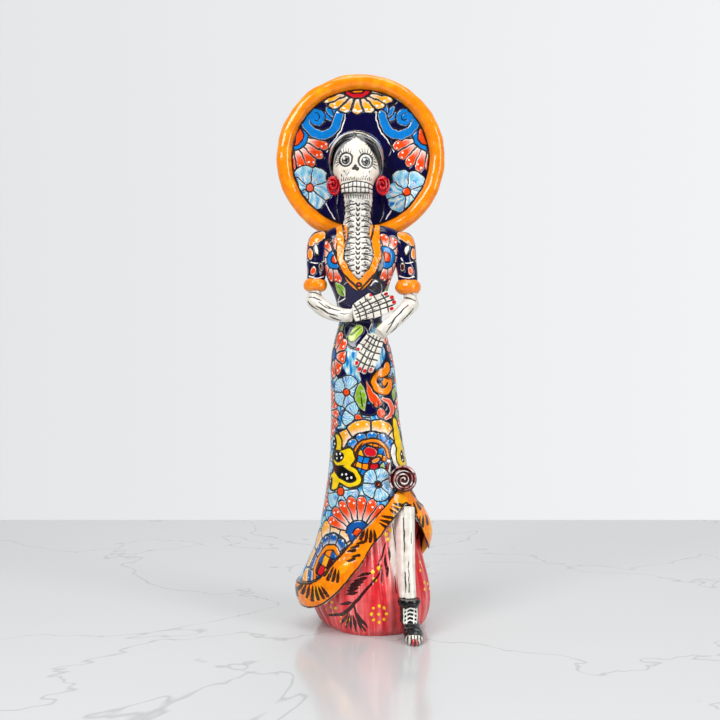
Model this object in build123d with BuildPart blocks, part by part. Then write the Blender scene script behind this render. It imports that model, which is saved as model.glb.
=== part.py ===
"""Glazed-earthenware catrina: a skeleton lady in a long dress and a wide-brimmed hat.

Every piece is a separate clay solid, as a potter casts, rolls or pinches it before luting it
to its neighbours: hollow castings for the dress, coils for the trims, rods for the bones.
Units are millimetres. +Z is up and the figure faces -Y. The origin is on the table, on the
underside of the base plate, below the neck. "Left" and "right" are the figure's own, so her
right arm is at -X.
"""

from build123d import *
import os
from math import cos, pi, sin

# ---- driving dimensions ----
WALL = 5.0  # thickness of the hollow castings
SLAB = 5.0  # thickness of the rolled clay base plate
VENT_RADIUS = 5.0  # kiln vent hole in the base plate
TRIM_RISE = 2.2  # how far the neckline coil stands out of the bodice
HEM_RISE = 3.0  # how far the hem band stands out of the dress
CHEST_SINK = 1.4  # how far the bare chest lies below the bodice

WAIST_Z = 302.0  # butt joint between the skirt and the bodice
TUCK_Z = 100.0  # above this the underskirt is tucked into the skirt
SHOULDER_Z = 399.0

HEAD_X, HEAD_Z = -3.5, 466.0

HAT_X, HAT_Y, HAT_Z = 0.5, 17.0, 470.0  # centre of the rim's circle
HAT_RADIUS = 85.5  # to the outside of the rolled rim
RIM_RADIUS = 7.8  # of the rolled rim's own section
BRIM_THICKNESS = 5.0
BRIM_DISH = 6.0  # how far the middle of the brim lies behind its rim
CROWN_RADIUS, CROWN_DEPTH = 33.0, 36.0

ROSETTE_CENTRE = (42.4, 149.0)  # X and Z
ROSETTE_RADIUS = 14.2
EARRING_RADIUS = 8.6
HAND_THICKNESS = 8.0

FAR = 160.0  # further than any piece reaches, for cutting prisms

# ---- cross-sections of the castings: (z, left, right, front, back) ----
SKIRT = [
    (14, -53, 60, -45, 48),
    (26, -59.5, 64, -48, 52),
    (42, -61.5, 66, -48, 53),
    (56, -57, 65, -46, 51),
    (76, -47, 66, -42, 47),
    (96, -41, 69.5, -38, 42),
    (113, -37.5, 64, -35, 39),
    (131, -34.5, 54.5, -32, 36),
    (165, -30.5, 46, -29, 33),
    (201, -29, 40, -27, 30),
    (237, -29, 36.5, -26, 27),
    (268, -28.5, 32.5, -24, 24),
    (288, -24.5, 27, -20, 20),
    (WAIST_Z, -21, 23, -17, 17),
]
UNDERSKIRT = [
    (0, -37, 60, -42, 43),
    (8, -42, 64.5, -44.5, 46),
    (20, -47, 68, -45, 46.5),
    (36, -51, 68.5, -43.5, 46),
    (56, -48, 65, -40, 44),
    (76, -41, 60, -36, 41),
    (98, -34, 57.5, -31, 35),
    (125, -31.8, 53.4, -29.4, 33.4),
    (140, -30.5, 49, -28.2, 32.3),
]
UNDERSKIRT_SWINGS = [20, 18, 14, 9, 4, 1, 0, 0, 0]  # how far each section's left side swings back
BODICE = [
    (WAIST_Z, -21, 23, -17, 17),
    (312, -21.5, 23, -18, 17.5),
    (325, -24, 25.5, -20.5, 18.5),
    (338, -29, 28.5, -24, 19.5),
    (352, -34.5, 33.5, -26, 20.5),
    (366, -38, 38, -24, 20.5),
    (380, -40.5, 42.5, -19.5, 18.5),
    (390, -38.5, 41.5, -16, 16),
    (395.5, -31, 34.5, -13.5, 13.5),
    (SHOULDER_Z, -20, 22, -10.5, 10.5),
]
NECK = [
    (384, -20.5, 17, -13, 10),
    (398, -17.5, 13.5, -12.5, 9.5),
    (406, -15.5, 10.5, -12, 9),
    (418, -15, 11.5, -12.5, 9.5),
    (430, -16.5, 12.5, -13, 10),
    (441, -16.5, 12.5, -13, 10),
]
SKULL = [
    (429, -15.5, 9, -18.5, 5),
    (434, -19.5, 12.5, -22.5, 9),
    (441, -21.5, 14.5, -23.8, 14),
    (448, -25, 18, -23.4, 19),
    (456, -28, 21, -23.6, 23),
    (465, -29, 22, -24.8, 25.5),
    (474, -27.8, 20.8, -23.8, 24.5),
    (482, -24, 17, -20, 20.5),
    (488, -17.5, 10.5, -14, 14),
    (491, -9.5, 2.5, -6.5, 6.5),
]
HAIR = [
    (446, -26, 19, -22.5, 20.5),
    (456, -30.4, 23.4, -25, 25.4),
    (465, -31.4, 24.4, -26.8, 27.9),
    (474, -30.4, 23.4, -26.2, 27.1),
    (482, -27, 20, -23, 23.5),
    (489, -20, 13, -16.5, 16.5),
    (493.3, -11, 4, -8, 8),
]
SLEEVE_RIGHT = [
    (343, -52.5, -35.5, -12.5, 4.5),
    (352, -52.5, -33.5, -13, 5.5),
    (366, -53, -30, -12.5, 8),
    (380, -52.5, -28, -11.5, 10.5),
    (388, -49.5, -28, -9.5, 9.5),
    (393.5, -43.5, -30, -5.5, 6),
]
SLEEVE_LEFT = [
    (342, 38.5, 56.5, -13, 4.5),
    (352, 37, 57, -13.5, 5.5),
    (366, 34, 56, -12.5, 8),
    (380, 31, 55, -11.5, 10.5),
    (388, 31, 52, -9.5, 9.5),
    (392.5, 33, 46.5, -5.5, 6),
]
BOOT_SHAFT = [
    (17, 38, 55.5, -62, -41),
    (26, 38, 55.5, -59.5, -42),
    (33, 37.5, 56, -60, -41.5),
]
BOOT_FOOT = [
    (0, 43, 57.5, -79, -42),
    (4, 41.5, 59.5, -81.5, -41),
    (10, 40.5, 59, -76, -41),
    (17, 38, 55.5, -62, -41),
]
BOOT_CUFF = [
    (31, 37.5, 56, -60, -41.5),
    (35, 35.8, 57.6, -61.5, -40.5),
    (38, 36.5, 57, -61, -41),
]

# ---- outlines seen from the front: (x, z) ----
HEM_TOP_FRONT = [
    (-78, 45),
    (-61, 46),
    (-43, 52),
    (-24.5, 71.5),
    (-8.5, 89),
    (11, 110),
    (30, 131),
    (43, 145),
    (54, 131),
    (66, 118),
    (86, 108),
]
HEM_FOOT_FRONT = [
    (-78, 25),
    (-58, 22),
    (-41, 26),
    (-26.5, 37),
    (-14, 50),
    (-6, 60),
    (2.5, 70),
    (10, 83),
    (18.5, 93),
    (29.5, 107),
    (40, 119),
    (46, 124),
    (53.5, 113),
    (61, 98),
    (68, 78),
    (86, 38),
]
HEM_TOP_BACK = [(-78, 45), (-61, 46), (-25, 51), (12, 63), (45, 86), (66, 118), (86, 152)]
HEM_FOOT_BACK = [(-78, 25), (-58, 22), (-25, 26), (12, 35), (45, 52), (68, 78), (86, 110)]
CHEST_OUTLINE = [
    (-17.5, 404),
    (-14, 379),
    (-15.5, 365),
    (-10, 354),
    (-1, 344),
    (8.5, 354.5),
    (13, 367),
    (10.5, 381),
    (15, 404),
]
TRIM_OUTLINE = [
    (-27, 404),
    (-23.5, 380),
    (-23.5, 364),
    (-17.5, 350),
    (-0.5, 333),
    (15.5, 350),
    (21.5, 365),
    (20.5, 381),
    (21.5, 404),
]
FACE_OUTLINE = [
    (-26.5, -24),
    (-25.6, -10),
    (-24.2, -1),
    (-21.5, 8),
    (-15, 16.5),
    (0, 22.5),
    (15, 16.5),
    (21.5, 8),
    (24.2, -1),
    (25.6, -10),
    (26.5, -24),
]


# ---- helpers ----
def oval_loft(sections, grow=0.0, corners=16, swings=None):
    """A solid through level oval sections, each side moved out by grow.

    Each section's left side may swing back by an amount of its own.
    """
    swings = swings or [0] * len(sections)
    with BuildPart() as form:
        for (z, left, right, front, back), swing in zip(sections, swings):
            middle_x, middle_y = (left + right) / 2, (front + back) / 2
            half_x, half_y = (right - left) / 2 + grow, (back - front) / 2 + grow
            ring = [
                (
                    middle_x + half_x * cos(2 * pi * k / corners),
                    middle_y + half_y * sin(2 * pi * k / corners) + swing * max(0, -cos(2 * pi * k / corners)) ** 2,
                )
                for k in range(corners)
            ]
            with BuildSketch(Plane.XY.offset(z)):
                with BuildLine():
                    Spline(*ring, periodic=True)
                make_face()
        loft()
    return form.part


def prism(plane, edge, closing, depth):
    """What lies inside a smooth edge closed by straight runs, from plane for depth along its normal."""
    with BuildPart() as form:
        with BuildSketch(plane):
            with BuildLine():
                Spline(*edge)
                Polyline(edge[-1], *closing, edge[0])
            make_face()
        extrude(amount=depth)
    return form.part


def band_prism(plane, top, foot, depth):
    """What lies between two smooth edges that run side by side."""
    with BuildPart() as form:
        with BuildSketch(plane):
            with BuildLine():
                Spline(*top)
                Line(top[-1], foot[-1])
                Spline(*reversed(foot))
                Line(foot[0], top[0])
            make_face()
        extrude(amount=depth)
    return form.part


def limb(points, radii, flat=1.0):
    """A rod through points, round with the given radii, its thickness along Y times flat."""
    spine = [Vector(*p) for p in points]
    with BuildPart() as form:
        for k, (point, radius) in enumerate(zip(spine, radii)):
            run = spine[min(k + 1, len(spine) - 1)] - spine[max(k - 1, 0)]
            side = Vector(0, 1, 0).cross(run).normalized()
            with BuildSketch(Plane(origin=point, x_dir=side, z_dir=run)):
                Ellipse(radius, radius * flat * 0.999)
        loft()
    return form.part


def ball(point, radius):
    """A round joint, such as an elbow or a fingertip."""
    with BuildPart() as form:
        with Locations(point):
            Sphere(radius)
    return form.part


def coil_ring(centre, outer, height, hole):
    """A thick ring of rolled clay standing on its edge's plane, bulged outside, with a round hole."""
    x, y, z = centre
    bulge = height / 2
    with BuildPart() as form:
        with BuildSketch(Plane(origin=(x, y, z), x_dir=(1, 0, 0), z_dir=(0, -1, 0))):
            with BuildLine():
                Polyline((outer - bulge, bulge), (hole, bulge), (hole, -bulge), (outer - bulge, -bulge))
                ThreePointArc((outer - bulge, -bulge), (outer, 0), (outer - bulge, bulge))
            make_face()
        revolve(axis=Axis((x, y, z), (0, 0, 1)))
    return form.part


def turned_on_hat_axis(profile):
    """A solid turned about the hat's axis, from straight runs through (radius, y) points."""
    with BuildPart() as form:
        with BuildSketch(Plane(origin=(HAT_X, 0, HAT_Z), x_dir=(1, 0, 0), z_dir=(0, 0, 1))):
            with BuildLine():
                Polyline(*profile, close=True)
            make_face()
        revolve(axis=Axis((HAT_X, 0, HAT_Z), (0, 1, 0)))
    return form.part


def block(low, high):
    """A box between two corners."""
    middle = tuple((a + b) / 2 for a, b in zip(low, high))
    with BuildPart() as form:
        with Locations(middle):
            Box(*[b - a for a, b in zip(low, high)])
    return form.part


FRONT = Plane.XZ  # prisms drawn here grow towards -Y, where the figure looks
BACK = Plane(origin=(0, 0, 0), x_dir=(1, 0, 0), z_dir=(0, -1, 0))  # used with a negative depth

# ---- the dress ----
below_hem_front = prism(FRONT, HEM_TOP_FRONT, [(86, -FAR), (-78, -FAR)], FAR)
below_hem_back = prism(BACK, HEM_TOP_BACK, [(86, -FAR), (-78, -FAR)], -FAR)
hem_zone_front = band_prism(FRONT, HEM_TOP_FRONT, HEM_FOOT_FRONT, FAR)
hem_zone_back = band_prism(BACK, HEM_TOP_BACK, HEM_FOOT_BACK, -FAR)
skirt_form = oval_loft(SKIRT)
skirt_hollow = oval_loft(SKIRT, grow=-WALL)
underskirt_form = oval_loft(UNDERSKIRT, swings=UNDERSKIRT_SWINGS)
underskirt_hollow = oval_loft(UNDERSKIRT, grow=-WALL, swings=UNDERSKIRT_SWINGS)
bodice_form = oval_loft(BODICE)

with BuildPart() as hem_rosette:  # a rolled strip pinned where the skirt is gathered up
    x, z = ROSETTE_CENTRE
    with BuildSketch(Plane.XZ.offset(22)) as disc:
        with Locations((x, z)):
            Circle(ROSETTE_RADIUS)
    extrude(amount=14)
    fillet(hem_rosette.edges().sort_by(Axis.Y)[0], 4.5)
    add(skirt_form, mode=Mode.SUBTRACT)

with BuildPart() as skirt_shell:
    add(skirt_form)
    add(skirt_hollow, mode=Mode.SUBTRACT)
    add(below_hem_front, mode=Mode.SUBTRACT)
    add(below_hem_back, mode=Mode.SUBTRACT)

with BuildPart() as hem_band_front:  # the dress's lower edge, drawn up to the rosette
    add(oval_loft(SKIRT, grow=HEM_RISE))
    add(skirt_hollow, mode=Mode.SUBTRACT)
    add(hem_zone_front, mode=Mode.INTERSECT)
    add(hem_rosette.part, mode=Mode.SUBTRACT)

with BuildPart() as hem_band_back:
    add(oval_loft(SKIRT, grow=HEM_RISE))
    add(skirt_hollow, mode=Mode.SUBTRACT)
    add(hem_zone_back, mode=Mode.INTERSECT)

above_slit = block((-FAR, -FAR, TUCK_Z), (FAR, FAR, FAR))
with BuildPart() as underskirt_top:  # its upper edge bears on the inside of the skirt
    add(underskirt_form)
    add(above_slit, mode=Mode.INTERSECT)
    add(skirt_hollow, mode=Mode.INTERSECT)

with BuildPart() as underskirt:
    add(underskirt_form)
    add(above_slit, mode=Mode.SUBTRACT)
    add(underskirt_top.part)
    add(underskirt_hollow, mode=Mode.SUBTRACT)
    add(hem_band_front.part, mode=Mode.SUBTRACT)
    add(hem_band_back.part, mode=Mode.SUBTRACT)

with BuildPart() as base_plate:  # closes the underskirt, with the kiln's vent hole
    add(underskirt_hollow)
    add(block((-FAR, -FAR, SLAB), (FAR, FAR, FAR)), mode=Mode.SUBTRACT)
    with Locations((12, 2, SLAB / 2)):
        Cylinder(VENT_RADIUS, 2 * SLAB, mode=Mode.SUBTRACT)

# ---- neck and chest ----
chest_zone = prism(Plane.XZ.offset(4), CHEST_OUTLINE, [], FAR)
with BuildPart() as chest_and_neck:
    add(oval_loft(BODICE, grow=-CHEST_SINK))
    add(chest_zone, mode=Mode.INTERSECT)
    add(oval_loft(NECK))

with BuildPart() as bodice_shell:
    add(bodice_form)
    add(oval_loft(BODICE[:8], grow=-WALL), mode=Mode.SUBTRACT)
    add(chest_zone, mode=Mode.SUBTRACT)
    add(chest_and_neck.part, mode=Mode.SUBTRACT)

with BuildPart() as neckline_trim:  # a flattened coil round the open neck
    add(oval_loft(BODICE, grow=TRIM_RISE))
    add(prism(Plane.XZ, TRIM_OUTLINE, [], FAR), mode=Mode.INTERSECT)
    add(prism(Plane.XZ, CHEST_OUTLINE, [], FAR), mode=Mode.SUBTRACT)
    add(bodice_form, mode=Mode.SUBTRACT)
    add(chest_and_neck.part, mode=Mode.SUBTRACT)

# ---- head ----
with BuildPart() as skull:
    add(oval_loft(SKULL))
    add(chest_and_neck.part, mode=Mode.SUBTRACT)

hair_form = oval_loft(HAIR)
face_edge = [(HEAD_X + x, HEAD_Z + z) for x, z in FACE_OUTLINE]
face_zone = prism(Plane.XZ.offset(2), face_edge, [], FAR)


def hair_half(low_x, high_x):
    """One side of the parted hair, a skin of clay over the back and side of the cranium."""
    with BuildPart() as half:
        add(hair_form)
        add(block((low_x, -FAR, 0), (high_x, FAR, 2 * HEAD_Z)), mode=Mode.INTERSECT)
        add(skull.part, mode=Mode.SUBTRACT)
        add(face_zone, mode=Mode.SUBTRACT)
    return half


hair_right = hair_half(-FAR, HEAD_X)
hair_left = hair_half(HEAD_X, FAR)


def earring(x):
    """A rolled clay rose on the side of the head, facing forwards."""
    with BuildPart() as rose:
        with BuildSketch(Plane.XZ.offset(4)):
            with Locations((x, HEAD_Z - 27.5)):
                Ellipse(EARRING_RADIUS - 1.2, EARRING_RADIUS)
        extrude(amount=11)
        fillet(rose.edges().sort_by(Axis.Y)[0], 3.5)
        add(skull.part, mode=Mode.SUBTRACT)
        add(chest_and_neck.part, mode=Mode.SUBTRACT)
    return rose


earring_right = earring(HEAD_X - 23)
earring_left = earring(HEAD_X + 25.5)

# ---- hat ----
rim_line = HAT_RADIUS - RIM_RADIUS
with BuildPart() as hat_rim:  # the rolled edge of the brim
    with BuildSketch(Plane(origin=(HAT_X, 0, HAT_Z), x_dir=(1, 0, 0), z_dir=(0, 0, 1))):
        with Locations((rim_line, HAT_Y)):
            Circle(RIM_RADIUS)
    revolve(axis=Axis((HAT_X, 0, HAT_Z), (0, 1, 0)))
    add(bodice_form, mode=Mode.SUBTRACT)
    add(chest_and_neck.part, mode=Mode.SUBTRACT)

with BuildPart() as hat_brim:  # a shallow dish, pierced where the head goes in
    brim_front, brim_back = HAT_Y - BRIM_THICKNESS / 2, HAT_Y + BRIM_THICKNESS / 2
    with BuildSketch(Plane(origin=(HAT_X, 0, HAT_Z), x_dir=(1, 0, 0), z_dir=(0, 0, 1))):
        with BuildLine():
            front_edge = ThreePointArc(
                (0, brim_front + BRIM_DISH), (42, brim_front + BRIM_DISH * 0.8), (rim_line, brim_front)
            )
            back_edge = ThreePointArc(
                (rim_line, brim_back), (42, brim_back + BRIM_DISH * 0.8), (0, brim_back + BRIM_DISH)
            )
            Line(front_edge @ 1, back_edge @ 0)
            Line(back_edge @ 1, front_edge @ 0)
        make_face()
    revolve(axis=Axis((HAT_X, 0, HAT_Z), (0, 1, 0)))
    add(hat_rim.part, mode=Mode.SUBTRACT)
    for piece in (skull, hair_right, hair_left, bodice_shell, chest_and_neck):
        add(piece.part, mode=Mode.SUBTRACT)

crown_start = HAT_Y + BRIM_DISH * 0.6
crown_end = crown_start + CROWN_DEPTH
with BuildPart() as hat_crown:  # a hollow cap luted to the back of the brim
    add(
        turned_on_hat_axis(
            [(0, crown_start), (CROWN_RADIUS, crown_start), (CROWN_RADIUS - 4, crown_end), (0, crown_end)]
        )
    )
    fillet(hat_crown.edges().sort_by(Axis.Y)[-1], 9)
    inner_radius = CROWN_RADIUS - WALL
    add(
        turned_on_hat_axis(
            [
                (0, crown_start),
                (inner_radius, crown_start),
                (inner_radius - 4, crown_end - WALL),
                (0, crown_end - WALL),
            ]
        ),
        mode=Mode.SUBTRACT,
    )
    add(hat_brim.part, mode=Mode.SUBTRACT)
    for piece in (skull, hair_right, hair_left):
        add(piece.part, mode=Mode.SUBTRACT)
    keep_back = block((-FAR, crown_start + 1, 0), (FAR, FAR, 2 * HAT_Z))
    add(keep_back, mode=Mode.INTERSECT)


# ---- arms ----
def sleeve(sections):
    """A short sleeve, luted to the side of the bodice."""
    with BuildPart() as form:
        add(oval_loft(sections))
        add(bodice_form, mode=Mode.SUBTRACT)
        add(hat_rim.part, mode=Mode.SUBTRACT)
    return form


def arm_bone(elbow, middle, wrist, stub_top):
    """The forearm, with the stub of the upper arm that goes up into the cuff."""
    with BuildPart() as bone:
        add(limb([elbow, middle, wrist], [8.4, 7.4, 6.4], 0.9))
        add(ball(elbow, 8.6))
        add(limb([elbow, (elbow[0], elbow[1], stub_top)], [7.0, 6.4]))
        add(bodice_form, mode=Mode.SUBTRACT)
        add(skirt_form, mode=Mode.SUBTRACT)
    return bone


sleeve_right = sleeve(SLEEVE_RIGHT)
sleeve_left = sleeve(SLEEVE_LEFT)
forearm_right = arm_bone((-45, -5, 324.5), (-23, -20, 310), (-8, -26.5, 308.5), 342.5)
forearm_left = arm_bone((50, -6, 320.5), (36.5, -21, 306), (19, -30, 290.5), 341.5)


def cuff(centre, outer, height, arm, bone):
    """The rolled coil round the end of a sleeve, with the arm bone coming out of it."""
    with BuildPart() as ring:
        add(coil_ring(centre, outer, height, 3.0))
        for piece in (arm, bone, bodice_shell):
            add(piece.part, mode=Mode.SUBTRACT)
    return ring


cuff_right = cuff((-44.5, -4, 339.5), 12.2, 13.5, sleeve_right, forearm_right)
cuff_left = cuff((47.8, -4.5, 337.5), 13.0, 15.5, sleeve_left, forearm_left)


# ---- hands ----
def hand(wrist, tip, thumb_side, blockers):
    """A flat hand of four fingers and a thumb, from the wrist's centre to the middle fingertips."""
    start, end = Vector(*wrist), Vector(*tip)
    along = (end - start).normalized()
    across = along.cross(Vector(0, 1, 0)).normalized()
    length = (end - start).length
    palm_end = 0.45 * length
    with BuildPart() as form:
        with BuildSketch(Plane(origin=start, x_dir=along, z_dir=along.cross(across))):
            with BuildLine():
                Polyline((palm_end, 10.2), (0, 6.6), (0, -6.6), (palm_end, -10.2), close=True)
            make_face()
            for finger, reach in enumerate((0.9, 1.0, 0.99, 0.9)):
                offset = (finger - 1.5) * 5.1
                slot_length = reach * length - palm_end + 4
                with Locations((palm_end - 4 + slot_length / 2, offset)):
                    SlotOverall(slot_length, 5.5)
            with Locations((0.3 * length, thumb_side * 9.6)):
                SlotOverall(0.5 * length, 5.6, rotation=thumb_side * 14)
        extrude(amount=HAND_THICKNESS / 2, both=True)
        for piece in blockers:
            add(piece, mode=Mode.SUBTRACT)
    return form


hand_right = hand(
    (-7, -23, 308.6), (35, -19.5, 325), 1, [bodice_form, skirt_form, forearm_right.part, forearm_left.part]
)
hand_left = hand(
    (17.5, -21.5, 289), (0.5, -28, 252), -1, [bodice_form, skirt_form, forearm_left.part, hand_right.part]
)

# ---- leg and boot ----
boot_solid = oval_loft(BOOT_FOOT)
with BuildPart() as foot_bones:  # the bare toes in front of the boot
    add(boot_solid)
    add(block((-FAR, -FAR, -1), (FAR, -67, FAR)), mode=Mode.INTERSECT)

with BuildPart() as ankle_boot:
    add(boot_solid)
    add(oval_loft(BOOT_SHAFT))
    add(block((-FAR, -FAR, -1), (FAR, -67, FAR)), mode=Mode.SUBTRACT)
    add(underskirt_form, mode=Mode.SUBTRACT)

with BuildPart() as boot_cuff:
    add(oval_loft(BOOT_CUFF))
    add(ankle_boot.part, mode=Mode.SUBTRACT)
    add(underskirt_form, mode=Mode.SUBTRACT)

with BuildPart() as shin_bone:  # from the slit in the dress down into the boot
    add(limb([(44.5, -22, 121), (44, -29, 98), (44.2, -38, 66), (46.6, -50.5, 30)], [9, 9.4, 9, 8], 0.66))
    for piece in (underskirt_form, skirt_shell.part, hem_band_front.part, ankle_boot.part, boot_cuff.part):
        add(piece, mode=Mode.SUBTRACT)

# ---- write every piece ----
PIECES = {
    "skirt_shell": skirt_shell,
    "hem_band_front": hem_band_front,
    "hem_band_back": hem_band_back,
    "hem_rosette": hem_rosette,
    "underskirt": underskirt,
    "base_plate": base_plate,
    "bodice_shell": bodice_shell,
    "chest_and_neck": chest_and_neck,
    "neckline_trim": neckline_trim,
    "skull": skull,
    "hair_right": hair_right,
    "hair_left": hair_left,
    "earring_right": earring_right,
    "earring_left": earring_left,
    "hat_rim": hat_rim,
    "hat_brim": hat_brim,
    "hat_crown": hat_crown,
    "sleeve_right": sleeve_right,
    "sleeve_left": sleeve_left,
    "cuff_right": cuff_right,
    "cuff_left": cuff_left,
    "forearm_right": forearm_right,
    "forearm_left": forearm_left,
    "hand_right": hand_right,
    "hand_left": hand_left,
    "shin_bone": shin_bone,
    "boot_cuff": boot_cuff,
    "ankle_boot": ankle_boot,
    "foot_bones": foot_bones,
}
os.makedirs("parts", exist_ok=True)
for name, piece in PIECES.items():
    piece.part.label = name
    export_step(piece.part, f"parts/{name}.step")
    solids = piece.part.solids()
    print(name, len(solids), "solid(s)", round(sum(s.volume for s in solids)), "mm3")
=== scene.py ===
"""Looks of a glazed-earthenware catrina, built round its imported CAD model.

Lengths in the tables and helpers are millimetres, and become metres when a mesh is made. The
figure faces -Y. Painted decoration is worked out as fields on fine meshes that lie on the CAD
surfaces: a fill colour, the distance to the nearest ink line and the distance to the nearest
glaze dot. The glaze materials turn those fields into crisp brushwork.
"""

from math import cos, hypot, pi, radians, sin

import bpy
import numpy as np
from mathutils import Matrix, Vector
from mathutils.bvhtree import BVHTree


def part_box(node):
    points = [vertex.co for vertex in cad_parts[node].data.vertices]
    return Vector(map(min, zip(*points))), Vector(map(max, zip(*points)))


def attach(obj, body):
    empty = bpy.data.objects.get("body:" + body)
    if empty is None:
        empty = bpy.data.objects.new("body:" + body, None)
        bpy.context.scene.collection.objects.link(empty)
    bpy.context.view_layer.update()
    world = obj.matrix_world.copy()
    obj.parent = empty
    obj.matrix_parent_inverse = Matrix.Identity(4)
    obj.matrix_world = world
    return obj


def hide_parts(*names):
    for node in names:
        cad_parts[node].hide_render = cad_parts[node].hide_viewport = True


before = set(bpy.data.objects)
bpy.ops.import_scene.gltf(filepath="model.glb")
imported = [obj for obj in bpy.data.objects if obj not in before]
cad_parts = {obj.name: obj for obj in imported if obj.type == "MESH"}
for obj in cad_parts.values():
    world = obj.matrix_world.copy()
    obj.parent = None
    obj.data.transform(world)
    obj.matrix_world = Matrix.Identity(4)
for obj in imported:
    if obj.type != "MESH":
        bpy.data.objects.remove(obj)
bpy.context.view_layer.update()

MM = 0.001
FAR_AWAY = 50.0  # a distance that means "no line near"


def rgb(red, green, blue):
    """A display colour from 0 to 255 as the linear values that shaders use."""
    shown = np.array([red, green, blue]) / 255.0
    return np.where(shown <= 0.04045, shown / 12.92, ((shown + 0.055) / 1.055) ** 2.4)


WHITE = rgb(240, 238, 230)
BONE = rgb(236, 229, 216)
INK = rgb(9, 8, 10)
NAVY = rgb(5, 2, 58)
CERULEAN = rgb(8, 122, 205)
DEEP_BLUE = rgb(14, 84, 160)
SKY = rgb(118, 196, 226)
ORANGE = rgb(250, 136, 4)
GOLD = rgb(248, 168, 24)
FLAME = rgb(238, 74, 14)
CORAL = rgb(240, 98, 72)
SCARLET = rgb(206, 18, 34)
LEAF = rgb(128, 172, 30)
YELLOW = rgb(246, 206, 8)
PINK = rgb(240, 122, 122)
ROSE = rgb(220, 42, 50)
MAROON = rgb(78, 18, 24)
CLAY = rgb(186, 112, 74)

# ---------------------------------------------------------------- small maths


def ripple(points, size, seed):
    """Smooth noise from -1 to 1 over points (any last axis), with features about size across."""
    rng = np.random.default_rng(seed)
    total = 0.0
    for _ in range(7):
        wave = rng.normal(size=points.shape[-1])
        wave *= 2 * pi / (size * rng.uniform(0.7, 1.6) * np.linalg.norm(wave))
        total = total + np.sin(points @ wave + rng.uniform(0, 2 * pi))
    return np.clip(total / 3.2, -1, 1)


def ramp(value, low, high):
    """0 below low, 1 above high, smooth between."""
    t = np.clip((value - low) / (high - low), 0, 1)
    return t * t * (3 - 2 * t)


def blend(first, second, amount):
    """A colour between two, per point."""
    amount = np.asarray(amount)[..., None]
    return first * (1 - amount) + second * amount


def pair(x, y):
    """Two coordinates as points."""
    return np.stack([x, y], -1)


def stroke(x, y, path, widths):
    """Distance to the edge of a brush stroke along path, negative inside, and how far along it."""
    best = np.full(np.shape(x), FAR_AWAY)
    along = np.zeros(np.shape(x))
    if len(path) < len(widths):
        places = np.linspace(0, 1, len(path))
        xs, ys = [p[0] for p in path], [p[1] for p in path]
        finer = np.linspace(0, 1, 2 * len(widths))
        path = [(np.interp(t, places, xs), np.interp(t, places, ys)) for t in finer]
    widths = np.interp(np.linspace(0, 1, len(path)), np.linspace(0, 1, len(widths)), widths)
    for k in range(len(path) - 1):
        ax, ay = path[k]
        bx, by = path[k + 1][0] - ax, path[k + 1][1] - ay
        t = np.clip(((x - ax) * bx + (y - ay) * by) / max(bx * bx + by * by, 1e-9), 0, 1)
        gap = np.hypot(x - ax - t * bx, y - ay - t * by)
        gap = gap - (widths[k] + t * (widths[k + 1] - widths[k])) / 2
        nearer = gap < best
        best = np.where(nearer, gap, best)
        along = np.where(nearer, (k + t) / (len(path) - 1), along)
    return best, along


def curve(*points, steps=8):
    """A smooth path through points."""
    pts = np.array(points, float)
    ends = np.vstack([2 * pts[0] - pts[1], pts, 2 * pts[-1] - pts[-2]])
    path = []
    for k in range(len(pts) - 1):
        p0, p1, p2, p3 = ends[k : k + 4]
        for t in np.linspace(0, 1, steps, endpoint=k == len(pts) - 2):
            path.append(
                0.5 * (2 * p1 + (p2 - p0) * t + (2 * p0 - 5 * p1 + 4 * p2 - p3) * t**2)
                + 0.5 * (3 * p1 - p0 - 3 * p2 + p3) * t**3
            )
    return path


def spiral(centre, start_radius, end_radius, start_angle, end_angle, steps=28):
    """A path that winds about centre. Angles in degrees, 0 towards +x and 90 up."""
    path = []
    for t in np.linspace(0, 1, steps):
        radius = start_radius + (end_radius - start_radius) * t
        angle = radians(start_angle + (end_angle - start_angle) * t)
        path.append((centre[0] + radius * cos(angle), centre[1] + radius * sin(angle)))
    return path


# ---------------------------------------------------------------- CAD surfaces


def cad_arrays(node):
    """Vertices in mm and triangles of a CAD node."""
    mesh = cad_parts[node].data
    flat = np.empty(len(mesh.vertices) * 3, np.float32)
    mesh.vertices.foreach_get("co", flat)
    return flat.reshape(-1, 3).astype(float) / MM, [tuple(p.vertices) for p in mesh.polygons]


def cad_tree(*nodes):
    """The surfaces of one or more CAD nodes, for rays."""
    verts, faces = [], []
    for node in nodes:
        more, triangles = cad_arrays(node)
        faces += [tuple(corner + len(verts) for corner in face) for face in triangles]
        verts += more.tolist()
    return BVHTree.FromPolygons(verts, faces)


def cast(tree, origins, directions):
    """Where rays meet a surface: points, and whether each ray met it."""
    flat_from = origins.reshape(-1, 3)
    flat_to = directions.reshape(-1, 3)
    hits = np.zeros_like(flat_from)
    met = np.zeros(len(flat_from), bool)
    for k in range(len(flat_from)):
        place = tree.ray_cast(Vector(flat_from[k]), Vector(flat_to[k]))[0]
        if place is not None:
            hits[k] = place
            met[k] = True
    return hits.reshape(origins.shape), met.reshape(origins.shape[:-1])


def vertex_normals(verts, quads):
    """Outward unit normals of a quad mesh."""
    across = verts[quads[:, 2]] - verts[quads[:, 0]]
    other = verts[quads[:, 3]] - verts[quads[:, 1]]
    face = np.cross(across, other)
    normals = np.zeros_like(verts)
    for corner in range(4):
        np.add.at(normals, quads[:, corner], face)
    return normals / np.maximum(np.linalg.norm(normals, axis=1, keepdims=True), 1e-9)


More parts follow.
